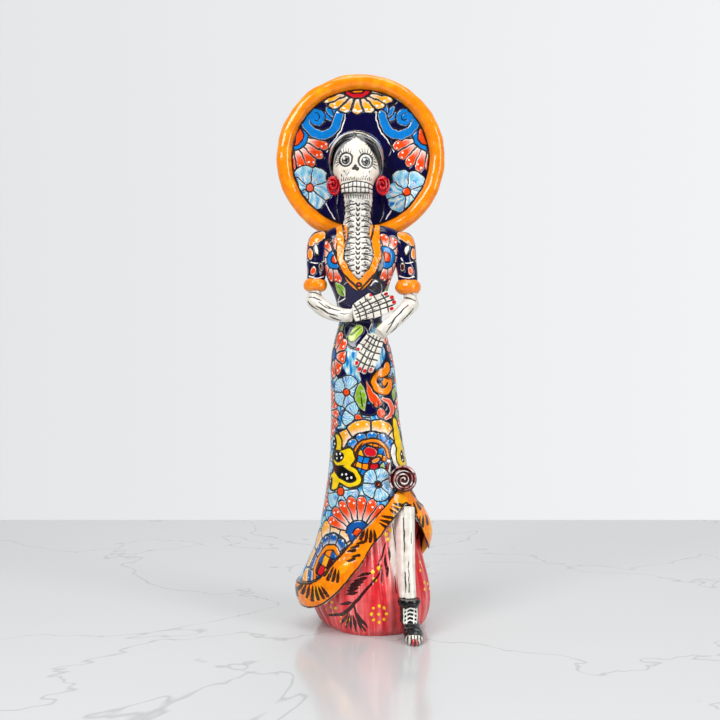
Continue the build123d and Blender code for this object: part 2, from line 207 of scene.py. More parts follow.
def grid_quads(valid):
    """Quads of a rows by columns grid, wherever all four corners are valid."""
    rows, cols = valid.shape
    index = np.arange(rows * cols).reshape(rows, cols)
    keep = valid[:-1, :-1] & valid[:-1, 1:] & valid[1:, 1:] & valid[1:, :-1]
    corners = (index[:-1, :-1], index[:-1, 1:], index[1:, 1:], index[1:, :-1])
    return np.stack([c[keep] for c in corners], -1)


# ---------------------------------------------------------------- painting


class Canvas:
    """Paint fields over points that have flat coordinates x, y in mm."""

    def __init__(self, x, y, ground, wobble=0.4, seed=3):
        flat = pair(x, y)
        self.x = x + wobble * ripple(flat, 9, seed)
        self.y = y + wobble * ripple(flat, 9, seed + 1)
        self.fill = np.empty(x.shape + (3,))
        self.fill[:] = ground
        self.ink = np.full(x.shape, FAR_AWAY)
        self.dots = np.full(x.shape, FAR_AWAY)
        self.mask = np.ones(x.shape, bool)

    def offsets(self, at):
        return self.x - at[0], self.y - at[1]

    def around(self, at, reach, turn=0.0):
        """Points within reach of a place, and their coordinates from it, turned clockwise."""
        dx, dy = self.offsets(at)
        near = (dx * dx + dy * dy < reach * reach) & self.mask
        c, s = cos(radians(turn)), sin(radians(turn))
        dx, dy = dx[near], dy[near]
        return near, c * dx - s * dy, s * dx + c * dy

    def region(self, near, edge, colour, line=0.6, pale=0.0):
        """Fills where edge is negative and inks its outline, with a pale strip inside the line."""
        inside = edge < 0
        colour = np.broadcast_to(colour, edge.shape + (3,))
        if pale:
            colour = blend(colour, WHITE, (1 - ramp(-edge, line + 0.1, line + pale)) * 0.9)
        fill, ink, dots = self.fill[near], self.ink[near], self.dots[near]
        fill[inside] = colour[inside]
        dots[inside] = FAR_AWAY
        self.fill[near] = fill
        self.dots[near] = dots
        self.ink[near] = np.where(inside, -edge - line, np.minimum(ink, edge - line))

    def rule(self, near, edge):
        """Adds ink where edge is negative."""
        self.ink[near] = np.minimum(self.ink[near], edge)

    def dab(self, near, edge):
        """Adds glaze dots or pale lines where edge is negative."""
        self.dots[near] = np.minimum(self.dots[near], edge)

    def tint(self, near, edge, colour):
        """A soft-edged patch of colour with no outline."""
        self.fill[near] = blend(self.fill[near], colour, 1 - ramp(edge, -0.7, 0.7))


class WrapCanvas(Canvas):
    """A canvas round an upright form: x is the arc from the front line, y the height."""

    def __init__(self, points, turns, ground, **more):
        step = np.linalg.norm(np.diff(points, axis=1), axis=2)
        arc = np.concatenate([np.zeros((len(points), 1)), np.cumsum(step, 1)], 1)
        front = len(turns) // 2
        self.turns, self.points = turns, points
        self.girth = arc[:, -1].copy()
        self.arc = arc - arc[:, front : front + 1]
        super().__init__(self.arc, points[..., 2], ground, **more)
        self.wobble_x = self.x - self.arc

    def row(self, height):
        heights = self.points[:, len(self.turns) // 2, 2]
        return int(np.argmin(np.abs(heights - height)))

    def front(self, x, z):
        """The place whose front view is at x, z."""
        row = self.row(z)
        facing = np.abs(self.turns) <= pi / 2
        return np.interp(x, self.points[row, facing, 0], self.arc[row, facing]), z

    def turned(self, degrees, z):
        """The place at an angle round the form, 0 in front and 90 at +X."""
        return np.interp(radians(degrees), self.turns, self.arc[self.row(z)]), z

    def offsets(self, at):
        row = self.row(at[1])
        column = np.interp(at[0], self.arc[row], np.arange(len(self.turns)))
        low = int(min(column, len(self.turns) - 2))
        part = column - low
        line = self.arc[:, low] * (1 - part) + self.arc[:, low + 1] * part
        girth = self.girth[:, None]
        across = (self.arc - line[:, None] + girth / 2) % girth - girth / 2
        return across + self.wobble_x, self.y - at[1]


def petals(
    cv, at, turn, radius, core, count, spread, colour, line=0.62, squash=(1, 1), dots=2, round_end=0.16
):
    """Petals fanned about a place, white at the root and colour near the tip, with glaze dots."""
    near, x, y = cv.around(at, radius * max(squash) + 2.5)
    x, y = turned(x / squash[0], y / squash[1], turn)
    r, a = np.hypot(x, y), np.arctan2(x, y)
    half = radians(spread) / count / 2
    k = np.clip(np.floor((a + radians(spread) / 2) / (2 * half)), 0, count - 1)
    off = a - (-radians(spread) / 2 + (2 * k + 1) * half)
    side = (np.abs(off) - half) * np.maximum(r, 0.5)
    tip = r - radius * (1 - round_end * np.abs(off / half) ** 2.4)
    edge = np.maximum(np.maximum(side, tip), core - r) * min(squash) ** 0.5
    t = (r - core) / max(radius - core, 0.1)
    grain = ripple(pair(a * radius * 1.6, r * 0.18), 1.5, int(radius * 10) + count)
    wash = 1.5 - 2.0 * np.abs(t - 0.66) - 0.25 * (off / half) ** 2 + 0.3 * grain
    cv.region(near, edge, blend(WHITE, colour, np.clip(wash, 0, 1)), line, 0.45)
    for d in range(dots):
        place = (d - (dots - 1) / 2) * 0.7
        px, py = off - place * half, t - (0.82 - 0.12 * d)
        gap = np.hypot(px * r, py * (radius - core)) - (0.7 if radius < 16 else 0.9)
        cv.dab(near, np.where(edge < -line, gap, FAR_AWAY))


def turned(x, y, turn):
    """Coordinates in a frame turned clockwise."""
    c, s = cos(radians(turn)), sin(radians(turn))
    return c * x - s * y, s * x + c * y


def water_streaks(a, r, radius, seed):
    """Thin strokes of pale and bright blue running outwards."""
    grain = ripple(pair(a * radius * 1.2, r * 0.2), 1.7, seed)
    broad = ripple(pair(a * radius * 0.6, r * 0.5), 9.0, seed + 1)
    wash = blend(SKY, WHITE, ramp(grain, -0.1, 0.75))
    return blend(wash, CERULEAN, ramp(-grain + 0.9 * broad, 0.45, 1.1))


def disc(cv, at, radius, colour, line=0.6, pale=0.0, squeeze=1.0, turn=0.0):
    """An oval patch, outlined."""
    near, x, y = cv.around(at, radius * max(1, squeeze) + 2.5, turn)
    edge = (np.hypot(x / squeeze, y) - radius) * min(1.0, squeeze)
    cv.region(near, edge, colour, line, pale)


def ring(cv, at, outer, inner, colour, line=0.6, squash=(1, 1)):
    """A band between two radii, or a disc when inner is below 0."""
    near, x, y = cv.around(at, outer * max(squash) + 2.5)
    r = np.hypot(x / squash[0], y / squash[1])
    cv.region(near, np.maximum(r - outer, inner - r), colour, line)


def fan(cv, at, turn, radius, rings, count, spread, colour, squash=(1, 1), **more):
    """A fan flower: petals round a hub of coloured rings, largest first."""
    core = rings[0][0] if rings else 0
    petals(cv, at, turn, radius, core, count, spread, colour, squash=squash, **more)
    for size, paint in rings:
        ring(cv, at, size, -1, paint, squash=squash)


def daisy(cv, at, radius, hub=3.2, hub_colour=FLAME, count=5, turn=10.0, ring_line=0.6):
    """A pale blue flower of broad streaked petals."""
    near, x, y = cv.around(at, radius + 2.5, turn)
    r, a = np.hypot(x, y), np.arctan2(x, y)
    half = pi / count
    k = np.floor((a + pi) / (2 * half))
    off = a + pi - (2 * k + 1) * half
    bay = radius * (1 - 0.13 * np.abs(off / half) ** 2.5)
    edge = np.maximum(r - bay, (np.abs(off) - half) * np.maximum(r, 0.5))
    cv.region(near, edge, water_streaks(a, r, radius, int(radius * 7) + count), 0.55, 0.3)
    near, x, y = cv.around(at, hub + 1.5)
    cv.tint(near, np.hypot(x, y) - hub - 0.7, WHITE)
    disc(cv, at, hub, hub_colour, ring_line)


def blob(cv, parts, colour, line=0.7, pale=0.0, soft=2.0):
    """One outlined shape from overlapping ovals: place, half width, half height, turn."""
    at = parts[0][0]
    reach = max(hypot(px - at[0], py - at[1]) + max(a, b) for (px, py), a, b, _ in parts) + 3
    near, x, y = cv.around(at, reach)
    total = 0.0
    for (px, py), wide, high, turn in parts:
        u, v = turned(x - (px - at[0]), y - (py - at[1]), turn)
        gap = (np.hypot(u / wide, v / high) - 1) * min(wide, high)
        total = total + np.exp(-np.clip(gap / soft, -30, 30))
    cv.region(near, -soft * np.log(total), colour, line, pale)


def leaf(cv, at, turn, length, width, colour=LEAF, bend=0.0, rib=True):
    """A pointed leaf, with a rib if wanted."""
    near, x, y = cv.around(at, length * 0.62 + 2, turn)
    s = 2 * y / length
    x = x - bend * (1 - s * s)
    edge = np.maximum((np.abs(x) - width / 2 * (1 - s * s)) * 0.85, np.abs(y) - length / 2)
    shade = blend(colour, WHITE, 0.25 * ramp(ripple(pair(x, y), 5, 5), 0, 1))
    cv.region(near, edge, shade, 0.62, 0.7)
    if rib:
        gap, _ = stroke(x, y, [(0, -0.3 * length), (0.3, 0.22 * length)], [1.2, 0.4])
        cv.rule(near, gap)


def local_path(path):
    """A path's first point, the path about that point, and how far it reaches."""
    at = path[0]
    local = [(px - at[0], py - at[1]) for px, py in path]
    return at, local, max(hypot(px, py) for px, py in local)


def ribbon(cv, path, widths, colour, line=0.65, pale=0.5):
    """A painted band along a path."""
    at, local, reach = local_path(path)
    near, x, y = cv.around(at, reach + max(widths) + 3)
    cv.region(near, stroke(x, y, local, widths)[0], colour, line, pale)


def brush(cv, path, widths):
    """One stroke of ink."""
    at, local, reach = local_path(path)
    near, x, y = cv.around(at, reach + max(widths) + 2)
    cv.rule(near, stroke(x, y, local, widths)[0])


def thin_line(cv, path, width=0.7):
    """One pale line."""
    at, local, reach = local_path(path)
    near, x, y = cv.around(at, reach + 3)
    cv.dab(near, stroke(x, y, local, [width, width])[0])


def glaze_dots(cv, places, radius):
    """Raised dots of glaze."""
    for place in places:
        near, x, y = cv.around(place, radius + 2)
        cv.dab(near, np.hypot(x, y) - radius)


# ---------------------------------------------------------------- materials


def node_maker(material):
    material.use_nodes = True
    tree = material.node_tree
    tree.nodes.clear()

    def make(kind, inputs=(), **settings):
        node = tree.nodes.new(kind)
        for key, value in settings.items():
            setattr(node, key, value)
        for key, value in dict(inputs).items():
            if isinstance(value, bpy.types.NodeSocket):
                tree.links.new(value, node.inputs[key])
            else:
                node.inputs[key].default_value = value
        return node

    return make


def new_material(name):
    """An empty material, its node maker and the object's own coordinates."""
    material = bpy.data.materials.new(name)
    make = node_maker(material)
    return material, make, make("ShaderNodeTexCoord").outputs["Object"]


def noise(make, place, scale, detail, distortion=0.0):
    """A noise texture's value."""
    inputs = {"Vector": place, "Scale": scale, "Detail": detail, "Distortion": distortion}
    return make("ShaderNodeTexNoise", inputs).outputs["Fac"]


def mapped(make, value, low, high, start, end, **settings):
    """A value's span from low to high, made to run from start to end."""
    span = {"Value": value, "From Min": low, "From Max": high, "To Min": start, "To Max": end}
    return make("ShaderNodeMapRange", span, **settings).outputs["Result"]


def worked(make, operation, *values):
    """The result of one maths node."""
    return make("ShaderNodeMath", dict(enumerate(values)), operation=operation).outputs[0]


def mixed(make, amount, first, second):
    """A colour between two."""
    return make("ShaderNodeMix", {0: amount, 6: first, 7: second}, data_type="RGBA").outputs[2]


def bumped(make, height, distance, strength):
    """A normal bent by a height."""
    inputs = {"Height": height, "Distance": distance, "Strength": strength}
    return make("ShaderNodeBump", inputs).outputs["Normal"]


def surface(make, inputs):
    """Ends a material in one principled shader."""
    shader = make("ShaderNodeBsdfPrincipled", inputs).outputs[0]
    make("ShaderNodeOutputMaterial", {"Surface": shader})


def painted_glaze(name, dot_colour=WHITE, rough=0.14, coat=0.45, pool=0.14):
    """Tin glaze with brushwork: fill colour, ink lines and dots come from the mesh's fields."""
    material, make, place = new_material(name)
    fill = make("ShaderNodeAttribute", attribute_name="fill").outputs["Color"]
    ink_gap = make("ShaderNodeAttribute", attribute_name="ink").outputs["Fac"]
    dot_gap = make("ShaderNodeAttribute", attribute_name="dots").outputs["Fac"]
    shake = worked(make, "ADD", noise(make, place, 620.0, 2.0), -0.68)
    cloud = noise(make, place, 160.0, 3.0)
    speck = noise(make, place, 1500.0, 1.0)

    def covered(gap, jitter, soft):
        shaken = worked(make, "MULTIPLY_ADD", shake, jitter, gap)
        return mapped(make, shaken, -soft, soft, 1.0, 0.0, interpolation_type="SMOOTHSTEP")

    pooled = mapped(make, cloud, 0.3, 0.7, 1 - pool, 1 + pool)
    deep = make("ShaderNodeVectorMath", {0: fill, "Scale": pooled}, operation="SCALE").outputs["Vector"]
    dotted = mixed(make, covered(dot_gap, 0.5, 0.16), deep, (*dot_colour, 1))
    wetness = mapped(make, speck, 0.35, 0.75, 1.0, 0.86)
    ink_amount = worked(make, "MULTIPLY", covered(ink_gap, 0.75, 0.14), wetness)
    relief = worked(make, "ADD", mapped(make, ink_gap, -0.5, 1.2, 0.0, 1.0), cloud)
    inputs = {
        "Base Color": mixed(make, ink_amount, dotted, (*INK, 1)),
        "Roughness": mapped(make, cloud, 0.3, 0.7, rough * 0.75, rough * 1.5),
        "Normal": bumped(make, relief, 0.00028, 0.45),
        "IOR": 1.5,
        "Specular IOR Level": 0.3,
        "Coat Weight": coat,
        "Coat Roughness": 0.05,
        "Coat IOR": 1.5,
    }
    surface(make, inputs)
    return material


def plain_clay(name):
    """Unglazed fired clay, slightly sandy."""
    material, make, place = new_material(name)
    grit = noise(make, place, 900.0, 6.0)
    tone = mixed(make, grit, (*(CLAY * 0.75), 1), (*(CLAY * 1.2), 1))
    surface(make, {"Base Color": tone, "Roughness": 0.85, "Normal": bumped(make, grit, 0.0003, 0.6)})
    return material


def plain_glaze(name, colour):
    """One glaze colour, pooled and glossy, for the CAD surface under the painted skins."""
    material, make, place = new_material(name)
    cloud = noise(make, place, 160.0, 3.0)
    inputs = {
        "Base Color": mixed(make, cloud, (*(colour * 0.7), 1), (*(colour * 1.25), 1)),
        "Roughness": 0.15,
        "Normal": bumped(make, cloud, 0.0003, 0.4),
        "Coat Weight": 0.6,
        "Coat Roughness": 0.05,
    }
    surface(make, inputs)
    return material


GLAZE = painted_glaze("painted_glaze")
YELLOW_DOT_GLAZE = painted_glaze("underskirt_glaze", dot_colour=YELLOW)
BONE_GLAZE = painted_glaze("bone_glaze", dot_colour=SCARLET, rough=0.2, coat=0.5, pool=0.1)
UNDER_GLAZE = plain_glaze("under_glaze", INK)
BARE_CLAY = plain_clay("bare_clay")

# ---------------------------------------------------------------- making pieces


def make_piece(name, verts, quads, cv, material, replaces=()):
    """A mesh object with the canvas's fields, riding on the figure."""
    used = np.unique(quads)
    renumber = np.full(len(verts), -1)
    renumber[used] = np.arange(len(used))
    mesh = bpy.data.meshes.new(name)
    mesh.from_pydata((verts[used] * MM).tolist(), [], renumber[quads].tolist())
    fill = mesh.attributes.new("fill", "FLOAT_COLOR", "POINT")
    colours = np.ones((len(used), 4), np.float32)
    colours[:, :3] = cv.fill.reshape(-1, 3)[used]
    fill.data.foreach_set("color", colours.ravel())
    for field, values in (("ink", cv.ink), ("dots", cv.dots)):
        layer = mesh.attributes.new(field, "FLOAT", "POINT")
        layer.data.foreach_set("value", np.clip(values, -9, 9).reshape(-1)[used].astype(np.float32))
    mesh.polygons.foreach_set("use_smooth", [True] * len(mesh.polygons))
    mesh.materials.append(material)
    piece = bpy.data.objects.new(name, mesh)
    bpy.context.scene.collection.objects.link(piece)
    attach(piece, "root")
    if replaces:
        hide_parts(*replaces)
    return piece


def relief_of(cv, rise=0.22, base=0.12):
    """How far painted glaze stands up: least along the ink lines."""
    return base + rise * ramp(cv.ink, -0.4, 1.0) + 0.15 * (1 - ramp(cv.dots, -0.6, 0.2))


def wrap_grid(node, axis, low, high, rows, turns, neighbours=()):
    """Points on an upright node's outside, from rays towards its axis (x, y at low and high).

    Where the node ends, the grid carries on over its neighbours, and those points are not met.
    """
    tree = cad_tree(node)
    if isinstance(turns, int):
        turns = np.linspace(-pi, pi, turns | 1)
    cols = len(turns)
    heights = np.linspace(low, high, rows)
    part = np.linspace(0, 1, rows)[:, None]
    middle = np.concatenate([axis[0] + part * (np.array(axis[1]) - axis[0]), heights[:, None]], 1)
    out = np.stack([np.sin(turns), -np.cos(turns), np.zeros(cols)], 1)
    inwards = np.broadcast_to(-out, (len(heights),) + out.shape)
    origins = middle[:, None, :] - inwards * 200

    def nearest(surfaces):
        hits, found = cast(surfaces, origins, inwards)
        return hits, found & (((hits - middle[:, None, :]) * -inwards).sum(-1) > 4)

    points, met = nearest(tree)
    guide, found = nearest(cad_tree(*neighbours)) if neighbours else (points, met)
    guide = np.where(found[..., None], guide, middle[:, None, :] - inwards * 30)
    return np.where(met[..., None], points, guide), met, turns


def grid_piece(name, points, met, cv, material):
    """A painted skin over a grid of points, lifted off the CAD surface and tucked in at its rim."""
    quads = grid_quads(met)
    verts = points.reshape(-1, 3)
    normals = vertex_normals(verts, quads)
    inner = met.copy()
    inner[1:-1] &= met[:-2] & met[2:]
    inner[:, 1:-1] &= met[:, :-2] & met[:, 2:]
    inner[0] = inner[-1] = False
    lift = relief_of(cv) + np.where(inner, 0.0, -0.35)
    verts = verts + normals * lift.reshape(-1, 1)
    return make_piece(name, verts, quads, cv, material)


def remeshed(node, voxel, smooth=2):
    """A CAD node as an even quad mesh: vertices in mm and quads."""
    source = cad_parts[node]
    holder = bpy.data.objects.new("holder", source.data.copy())
    bpy.context.scene.collection.objects.link(holder)
    remesh = holder.modifiers.new("remesh", "REMESH")
    remesh.mode = "VOXEL"
    remesh.voxel_size = voxel * MM
    mesh = bpy.data.meshes.new_from_object(holder.evaluated_get(bpy.context.evaluated_depsgraph_get()))
    flat = np.empty(len(mesh.vertices) * 3, np.float32)
    mesh.vertices.foreach_get("co", flat)
    verts = flat.reshape(-1, 3).astype(float) / MM
    loops = np.empty(len(mesh.loops), np.int32)
    mesh.loops.foreach_get("vertex_index", loops)
    quads = loops.reshape(-1, 4)
    bpy.data.objects.remove(holder)
    return smoothed(verts, quads, smooth), quads


def smoothed(verts, quads, times):
    """Vertices moved towards their neighbours' average."""
    pairs = np.concatenate([quads[:, [k, (k + 1) % 4]] for k in range(4)])
    count = np.zeros(len(verts))
    np.add.at(count, pairs[:, 0], 1)
    np.add.at(count, pairs[:, 1], 1)
    for _ in range(times):
        total = np.zeros_like(verts)
        np.add.at(total, pairs[:, 0], verts[pairs[:, 1]])
        np.add.at(total, pairs[:, 1], verts[pairs[:, 0]])
        verts = verts * 0.4 + total / count[:, None] * 0.6
    return verts


# outlines of the bare chest and of the trim round it, seen from the front
CHEST_EDGE = [(-17.5, 404), (-14, 379), (-15.5, 365), (-10, 354), (-1, 344), (8.5, 354.5), (13, 367),
              (10.5, 381), (15, 404)]
TRIM_EDGE = [(-27, 404), (-23.5, 380), (-23.5, 364), (-17.5, 350), (-0.5, 333), (15.5, 350), (21.5, 365),
             (20.5, 381), (21.5, 404)]


# ================================================================ the dress


def paint_skirt(cv):
    """The skirt's front, from the waist down."""
    paint_skirt_ground(cv)
    paint_hips(cv)
    paint_scrolls(cv)
    paint_lower_flowers(cv)
    paint_roundel(cv)
    paint_butterfly(cv)


def blue_wash(streak):
    """Watery blue, paler along the streaks."""
    return blend(blend(CERULEAN, SKY, ramp(streak, -0.6, 0.2)), WHITE, ramp(streak, 0.15, 0.9))


def paint_skirt_ground(cv):
    """Loose blue washes that show between the flowers."""
    near = np.abs(cv.x) < 95
    x, y = cv.x[near], cv.y[near]
    streak = ripple(pair(x, y * 0.3), 4.0, 301) * 0.7 + 0.5 * ripple(pair(x, y), 15, 302)
    here = ramp(-np.maximum(y - 152, x - 24), -1, 1) + ramp(-np.maximum(np.abs(y - 222) - 24, x + 2), -1, 1)
    cv.fill[near] = blend(cv.fill[near], blue_wash(streak), np.clip(here, 0, 1))


def paint_hips(cv):
    at = cv.front
    blob(cv, [(at(-2, 287), 10, 13, 30), (at(-10, 294), 7, 8, 0)], NAVY, 0.7, 0.5)
    blob(cv, [(at(-7, 288.5), 4.6, 6.6, 30), (at(-2.4, 294.5), 5.0, 5.8, 10)], rgb(172, 208, 44), 0.5, 0.9)
    brush(cv, curve(at(-10.5, 290), at(-7, 290.5), at(-4.6, 293), at(-1, 296.5)), [0.7, 1.6, 1.8, 1.0])
    leaf(cv, at(-17.5, 297), 12, 10, 5, rib=False)
    leaf(cv, at(19, 297), 15, 13, 7)
    fan(cv, at(-25.5, 270), 97, 19.5, [(4.6, DEEP_BLUE)], 5, 205, FLAME, squash=(0.86, 1.22))
    fan(cv, at(31.5, 274), -98, 16, [(7.0, DEEP_BLUE)], 6, 215, FLAME, squash=(0.8, 1.15))
    thin_line(cv, curve(at(-1, 279), at(7, 290), at(10, 300)))
    thin_line(cv, curve(at(15, 262), at(19, 268), at(21, 275)), 1.0)


def paint_scrolls(cv):
    """The hip's curls: daisies, a green leaf, an orange volute and a coral one."""
    at = cv.front
    petals(cv, at(-46, 213), 92, 25, 7, 7, 165, FLAME, squash=(0.8, 1.15))
    daisy(cv, at(-13.3, 233.5), 16.8, 3.5, turn=18)
    ribbon(cv, curve(at(-18, 212.5), at(-10, 216), at(-3, 220)), [4, 6.2, 3], CERULEAN, 0.5, 0.2)
    daisy(cv, at(-3.5, 208.5), 15.5, 0.2, count=5, turn=52)
    disc(cv, at(-1.5, 208.6), 3.8, FLAME, 0.6, 0.4)
    blob(cv, [(at(9, 216), 9, 5.5, 0), (at(22, 222), 5, 6, 0)], NAVY, 0.6, 0.0)
    ribbon(cv, curve(at(6.4, 244), at(8.8, 236), at(12.5, 228.5), at(16.5, 223.5)), [2, 6, 9.5, 10.5], FLAME)
    for x in (13.5, 17.8):
        brush(cv, [at(x, 219.5), at(x - 0.8, 224.5)], [1.2, 0.4])
    leaf(cv, at(2.6, 229), -7, 30, 12.5, bend=-2.0)
    volute = [(27, 260), (25.4, 254.6), (19.4, 251.4), (13.9, 246.8), (13.4, 240.4), (17.6, 235.2),
              (23.8, 234.6), (28.2, 238.6), (28.4, 244.0), (24.4, 245.6), (22.6, 242.6)]
    widths = [8, 9.4, 9, 8.4, 8, 8, 8, 7.6, 6.8, 6.2, 6.4]
    ribbon(cv, curve(*[at(*p) for p in volute]), widths, ORANGE, 0.75, 0.0)
    blob(cv, [(at(18.4, 244.6), 1.5, 3.0, 15)], NAVY, 0.4, 0.0)
    brush(cv, curve(at(20, 247), at(25, 247.3), at(29, 246)), [0.8, 1.2, 0.8])
    disc(cv, at(32.6, 246.8), 4.6, NAVY, 0.5, 0.5, squeeze=0.55)
    coral = curve(at(22.5, 227), at(28.6, 223.6), at(31.2, 216.5), at(29.4, 210.5), at(24.8, 207.4))
    ribbon(cv, coral, [4.5, 7, 7.5, 7, 4], CORAL, 0.6, 1.2)
    disc(cv, at(20.8, 212.8), 5.0, FLAME, 0.6, 0.4)
    leaf(cv, at(33.4, 232), 14, 16, 7.5, rib=False)
    leaf(cv, at(36, 208.5), 10, 18, 7.5, rib=False)
    for k in range(6):
        glaze_dots(cv, [at(36.4, 247 - 7 * k)], 0.9)


def paint_roundel(cv):
    """Gold scallops over blue ones over an orange arch, with a mosaic below."""
    at = cv.front(11.5, 169.5)
    petals(cv, at, 0, 38.5, 26, 4, 152, GOLD, line=0.75, dots=3, round_end=0.07, squash=(1.12, 1))
    petals(cv, at, 2, 26, 16.5, 7, 176, CERULEAN, line=0.75, dots=1, round_end=0.12, squash=(1.16, 1))
    blob(cv, [(cv.front(35, 171), 5.5, 13, -4)], rgb(244, 240, 230), 0.5)
    mosaic_roundel(cv, at, 19.6)
    daisy(cv, cv.front(17.6, 144), 16.4, 2.5, count=5, turn=25, ring_line=1.5)


def paint_lower_flowers(cv):
    at = cv.front
    petals(cv, at(-47, 132), 84, 19, 5, 6, 165, FLAME)
    daisy(cv, at(-19, 136.5), 20, 4.2, FLAME, 6, 18)
    low = at(-33, 64)
    petals(cv, low, 2, 47, 32, 9, 250, GOLD, line=0.7, dots=3, round_end=0.12, squash=(0.74, 1))
    petals(cv, low, 2, 32, 21.5, 9, 260, DEEP_BLUE, line=0.7, dots=1, round_end=0.13, squash=(0.74, 1))
    ring(cv, low, 21.5, -1, ORANGE, 0.7, squash=(0.74, 1))
    mosaic_disc(cv, low, 16.2, squeeze=0.74)
    fan(cv, at(-1.6, 97), -4, 36.5, [(12.6, DEEP_BLUE), (5.6, FLAME)], 8, 152, FLAME, line=0.7)


def paint_butterfly(cv):
    """Yellow wings with black eyes and white dots, and a wing tip at the other side."""
    at = cv.front
    wing = [(at(-17.5, 169), 14, 9, 0), (at(-22.5, 184), 6.0, 9, -8), (at(-11, 171), 5.6, 8.5, 0),
            (at(-12.5, 152.5), 17.5, 10.5, 24), (at(-25, 145.5), 8, 9, 0)]
    blob(cv, wing, YELLOW, 0.8, 0.0, 1.2)
    for x, z in ((-24, 176), (-23, 161)):
        brush(cv, curve(at(x - 4, z + 1), at(x + 2, z), at(x + 8, z + 1)), [1.4, 1.4, 0.4])
    eyes = [(at(-25, 183), 3.8, 7.2, -8), (at(-21.6, 170), 7.4, 5.4, 0), (at(-15.5, 153.5), 14.0, 6.2, 24),
            (at(-28.5, 143), 2.6, 6, 0)]
    for eye in eyes:
        blob(cv, [eye], INK, 0.1)
    blob(cv, [(at(-24.5, 158.5), 4.4, 3.0, 30)], MAROON, 0.1)
    spots = [(-25.5, 187), (-24.5, 182), (-26, 178.5), (-23, 172.5), (-19.5, 173), (-22.5, 168.4),
             (-18, 169), (-17.5, 152.5), (-13.4, 153.5), (-12, 149.5), (-8.4, 150.3), (-29, 145)]
    glaze_dots(cv, [at(*spot) for spot in spots], 1.05)
    tip = [(at(41.5, 169), 9.5, 11.5, -4), (at(39, 187), 6.5, 13, -6), (at(37, 201), 4, 9, -8)]
    blob(cv, tip, YELLOW, 0.7, 0.0, 1.2)
    for eye in ((at(42, 169.5), 3.7, 6.2, -5), (at(40.5, 188), 1.8, 5, -8)):
        blob(cv, [eye], INK, 0.1)
    glaze_dots(cv, [at(41, 172), at(43.2, 170.6), at(42, 166.4)], 0.95)


def tiles(x, y, size, shift, steps, colours):
    """Squares of a grid: how far each point is outside its square, and the square's colour."""
    u, v = x / size + shift[0], y / size + shift[1]
    column, line = np.floor(u), np.floor(v)
    pick = (column * steps[0] + line * steps[1] + steps[2]).astype(int) % len(colours)
    outside = np.maximum(np.abs(u - column - 0.5), np.abs(v - line - 0.5)) - 0.5
    return outside * size, np.array(colours)[pick]


def mosaic_disc(cv, at, radius, squeeze=1.0):
    """A disc laid with small squares of glaze."""
    near, x, y = cv.around(at, radius + 2)
    x, y = turned(x / squeeze, y, 12)
    square, colour = tiles(x, y, radius / 1.7, (0, 0), (1, 3, 4), (SCARLET, ORANGE, DEEP_BLUE, GOLD, MAROON))
    disc_edge = np.hypot(x, y) - radius
    cv.region(near, np.maximum(square, disc_edge), colour, 0.4)
    cv.rule(near, np.abs(disc_edge) - 0.5)


def mosaic_roundel(cv, at, radius):
    """An orange arch over a mosaic, with one big red tile."""
    near, x, y = cv.around(at, radius + 8)
    r = np.hypot(x, y)
    body = np.maximum(np.maximum(r - radius - 5, np.abs(x) - radius), -y - radius * 0.9)
    cv.region(near, np.minimum(np.maximum(body, y), r - radius), WHITE, 0.6)
    arch = np.maximum(np.maximum(r - (radius - 0.6), (radius - 4.6) - r), -y - 1)
    cv.region(near, arch, ORANGE, 0.6)
    brush(cv, spiral(at, radius - 4.6, radius - 2.6, 178, 120, 8), [2.6, 2.2, 0.6])
    near, x, y = cv.around(at, radius + 8, 14)
    colours = (ORANGE, CERULEAN, GOLD, SCARLET, ORANGE, CERULEAN)
    square, colour = tiles(x, y, 6.0, (0.3, 0.1), (2, 3, 0), colours)
    below_arch = np.where(y > 0, r - radius + 5.2, -50)
    room = np.maximum(np.maximum(np.abs(x) - radius + 1, -y - radius), below_arch)
    cv.region(near, np.maximum(square, room), colour, 0.5)
    for dx, dz, wide, high, turn, paint, line, pale in (
        (-1.5, 6, 7.2, 5.4, 8, SCARLET, 0.7, 0.3),
        (2, -8, 5.2, 3.6, -20, SCARLET, 0.6, 0.0),
        (4, -2, 5, 2.6, -20, ORANGE, 0.6, 0.4),
    ):
        blob(cv, [((at[0] + dx, at[1] + dz), wide, high, turn)], paint, line, pale)
    leaf(cv, (at[0] + 10.5, at[1] - 9), 15, 9.5, 6, rib=False)


def paint_skirt_back(cv):
    """The same flowers, carried round the sides and the back."""
    streak = ripple(pair(cv.x, cv.y * 0.3), 4.0, 311)
    patch = ramp(ripple(pair(cv.x, cv.y), 34, 312), -0.1, 0.1)
    cv.fill[:] = blend(cv.fill, blue_wash(streak), patch)
    heights = (290, 268, 243, 215, 184, 151, 116, 80, 50)
    for k, z in enumerate(heights):
        size = 11 + (300 - z) * 0.062
        around = cv.girth[cv.row(z)]
        count = max(4, int(around / (size * 1.72)))
        for j in range(count):
            degrees = -180 + 360 * (j + 0.5 * (k % 2)) / count
            at = cv.turned(degrees, z + 2.5 * sin(5 * j + k))
            if abs(degrees) < 62:
                continue
            back_flower(cv, at, size, j + 2 * k)


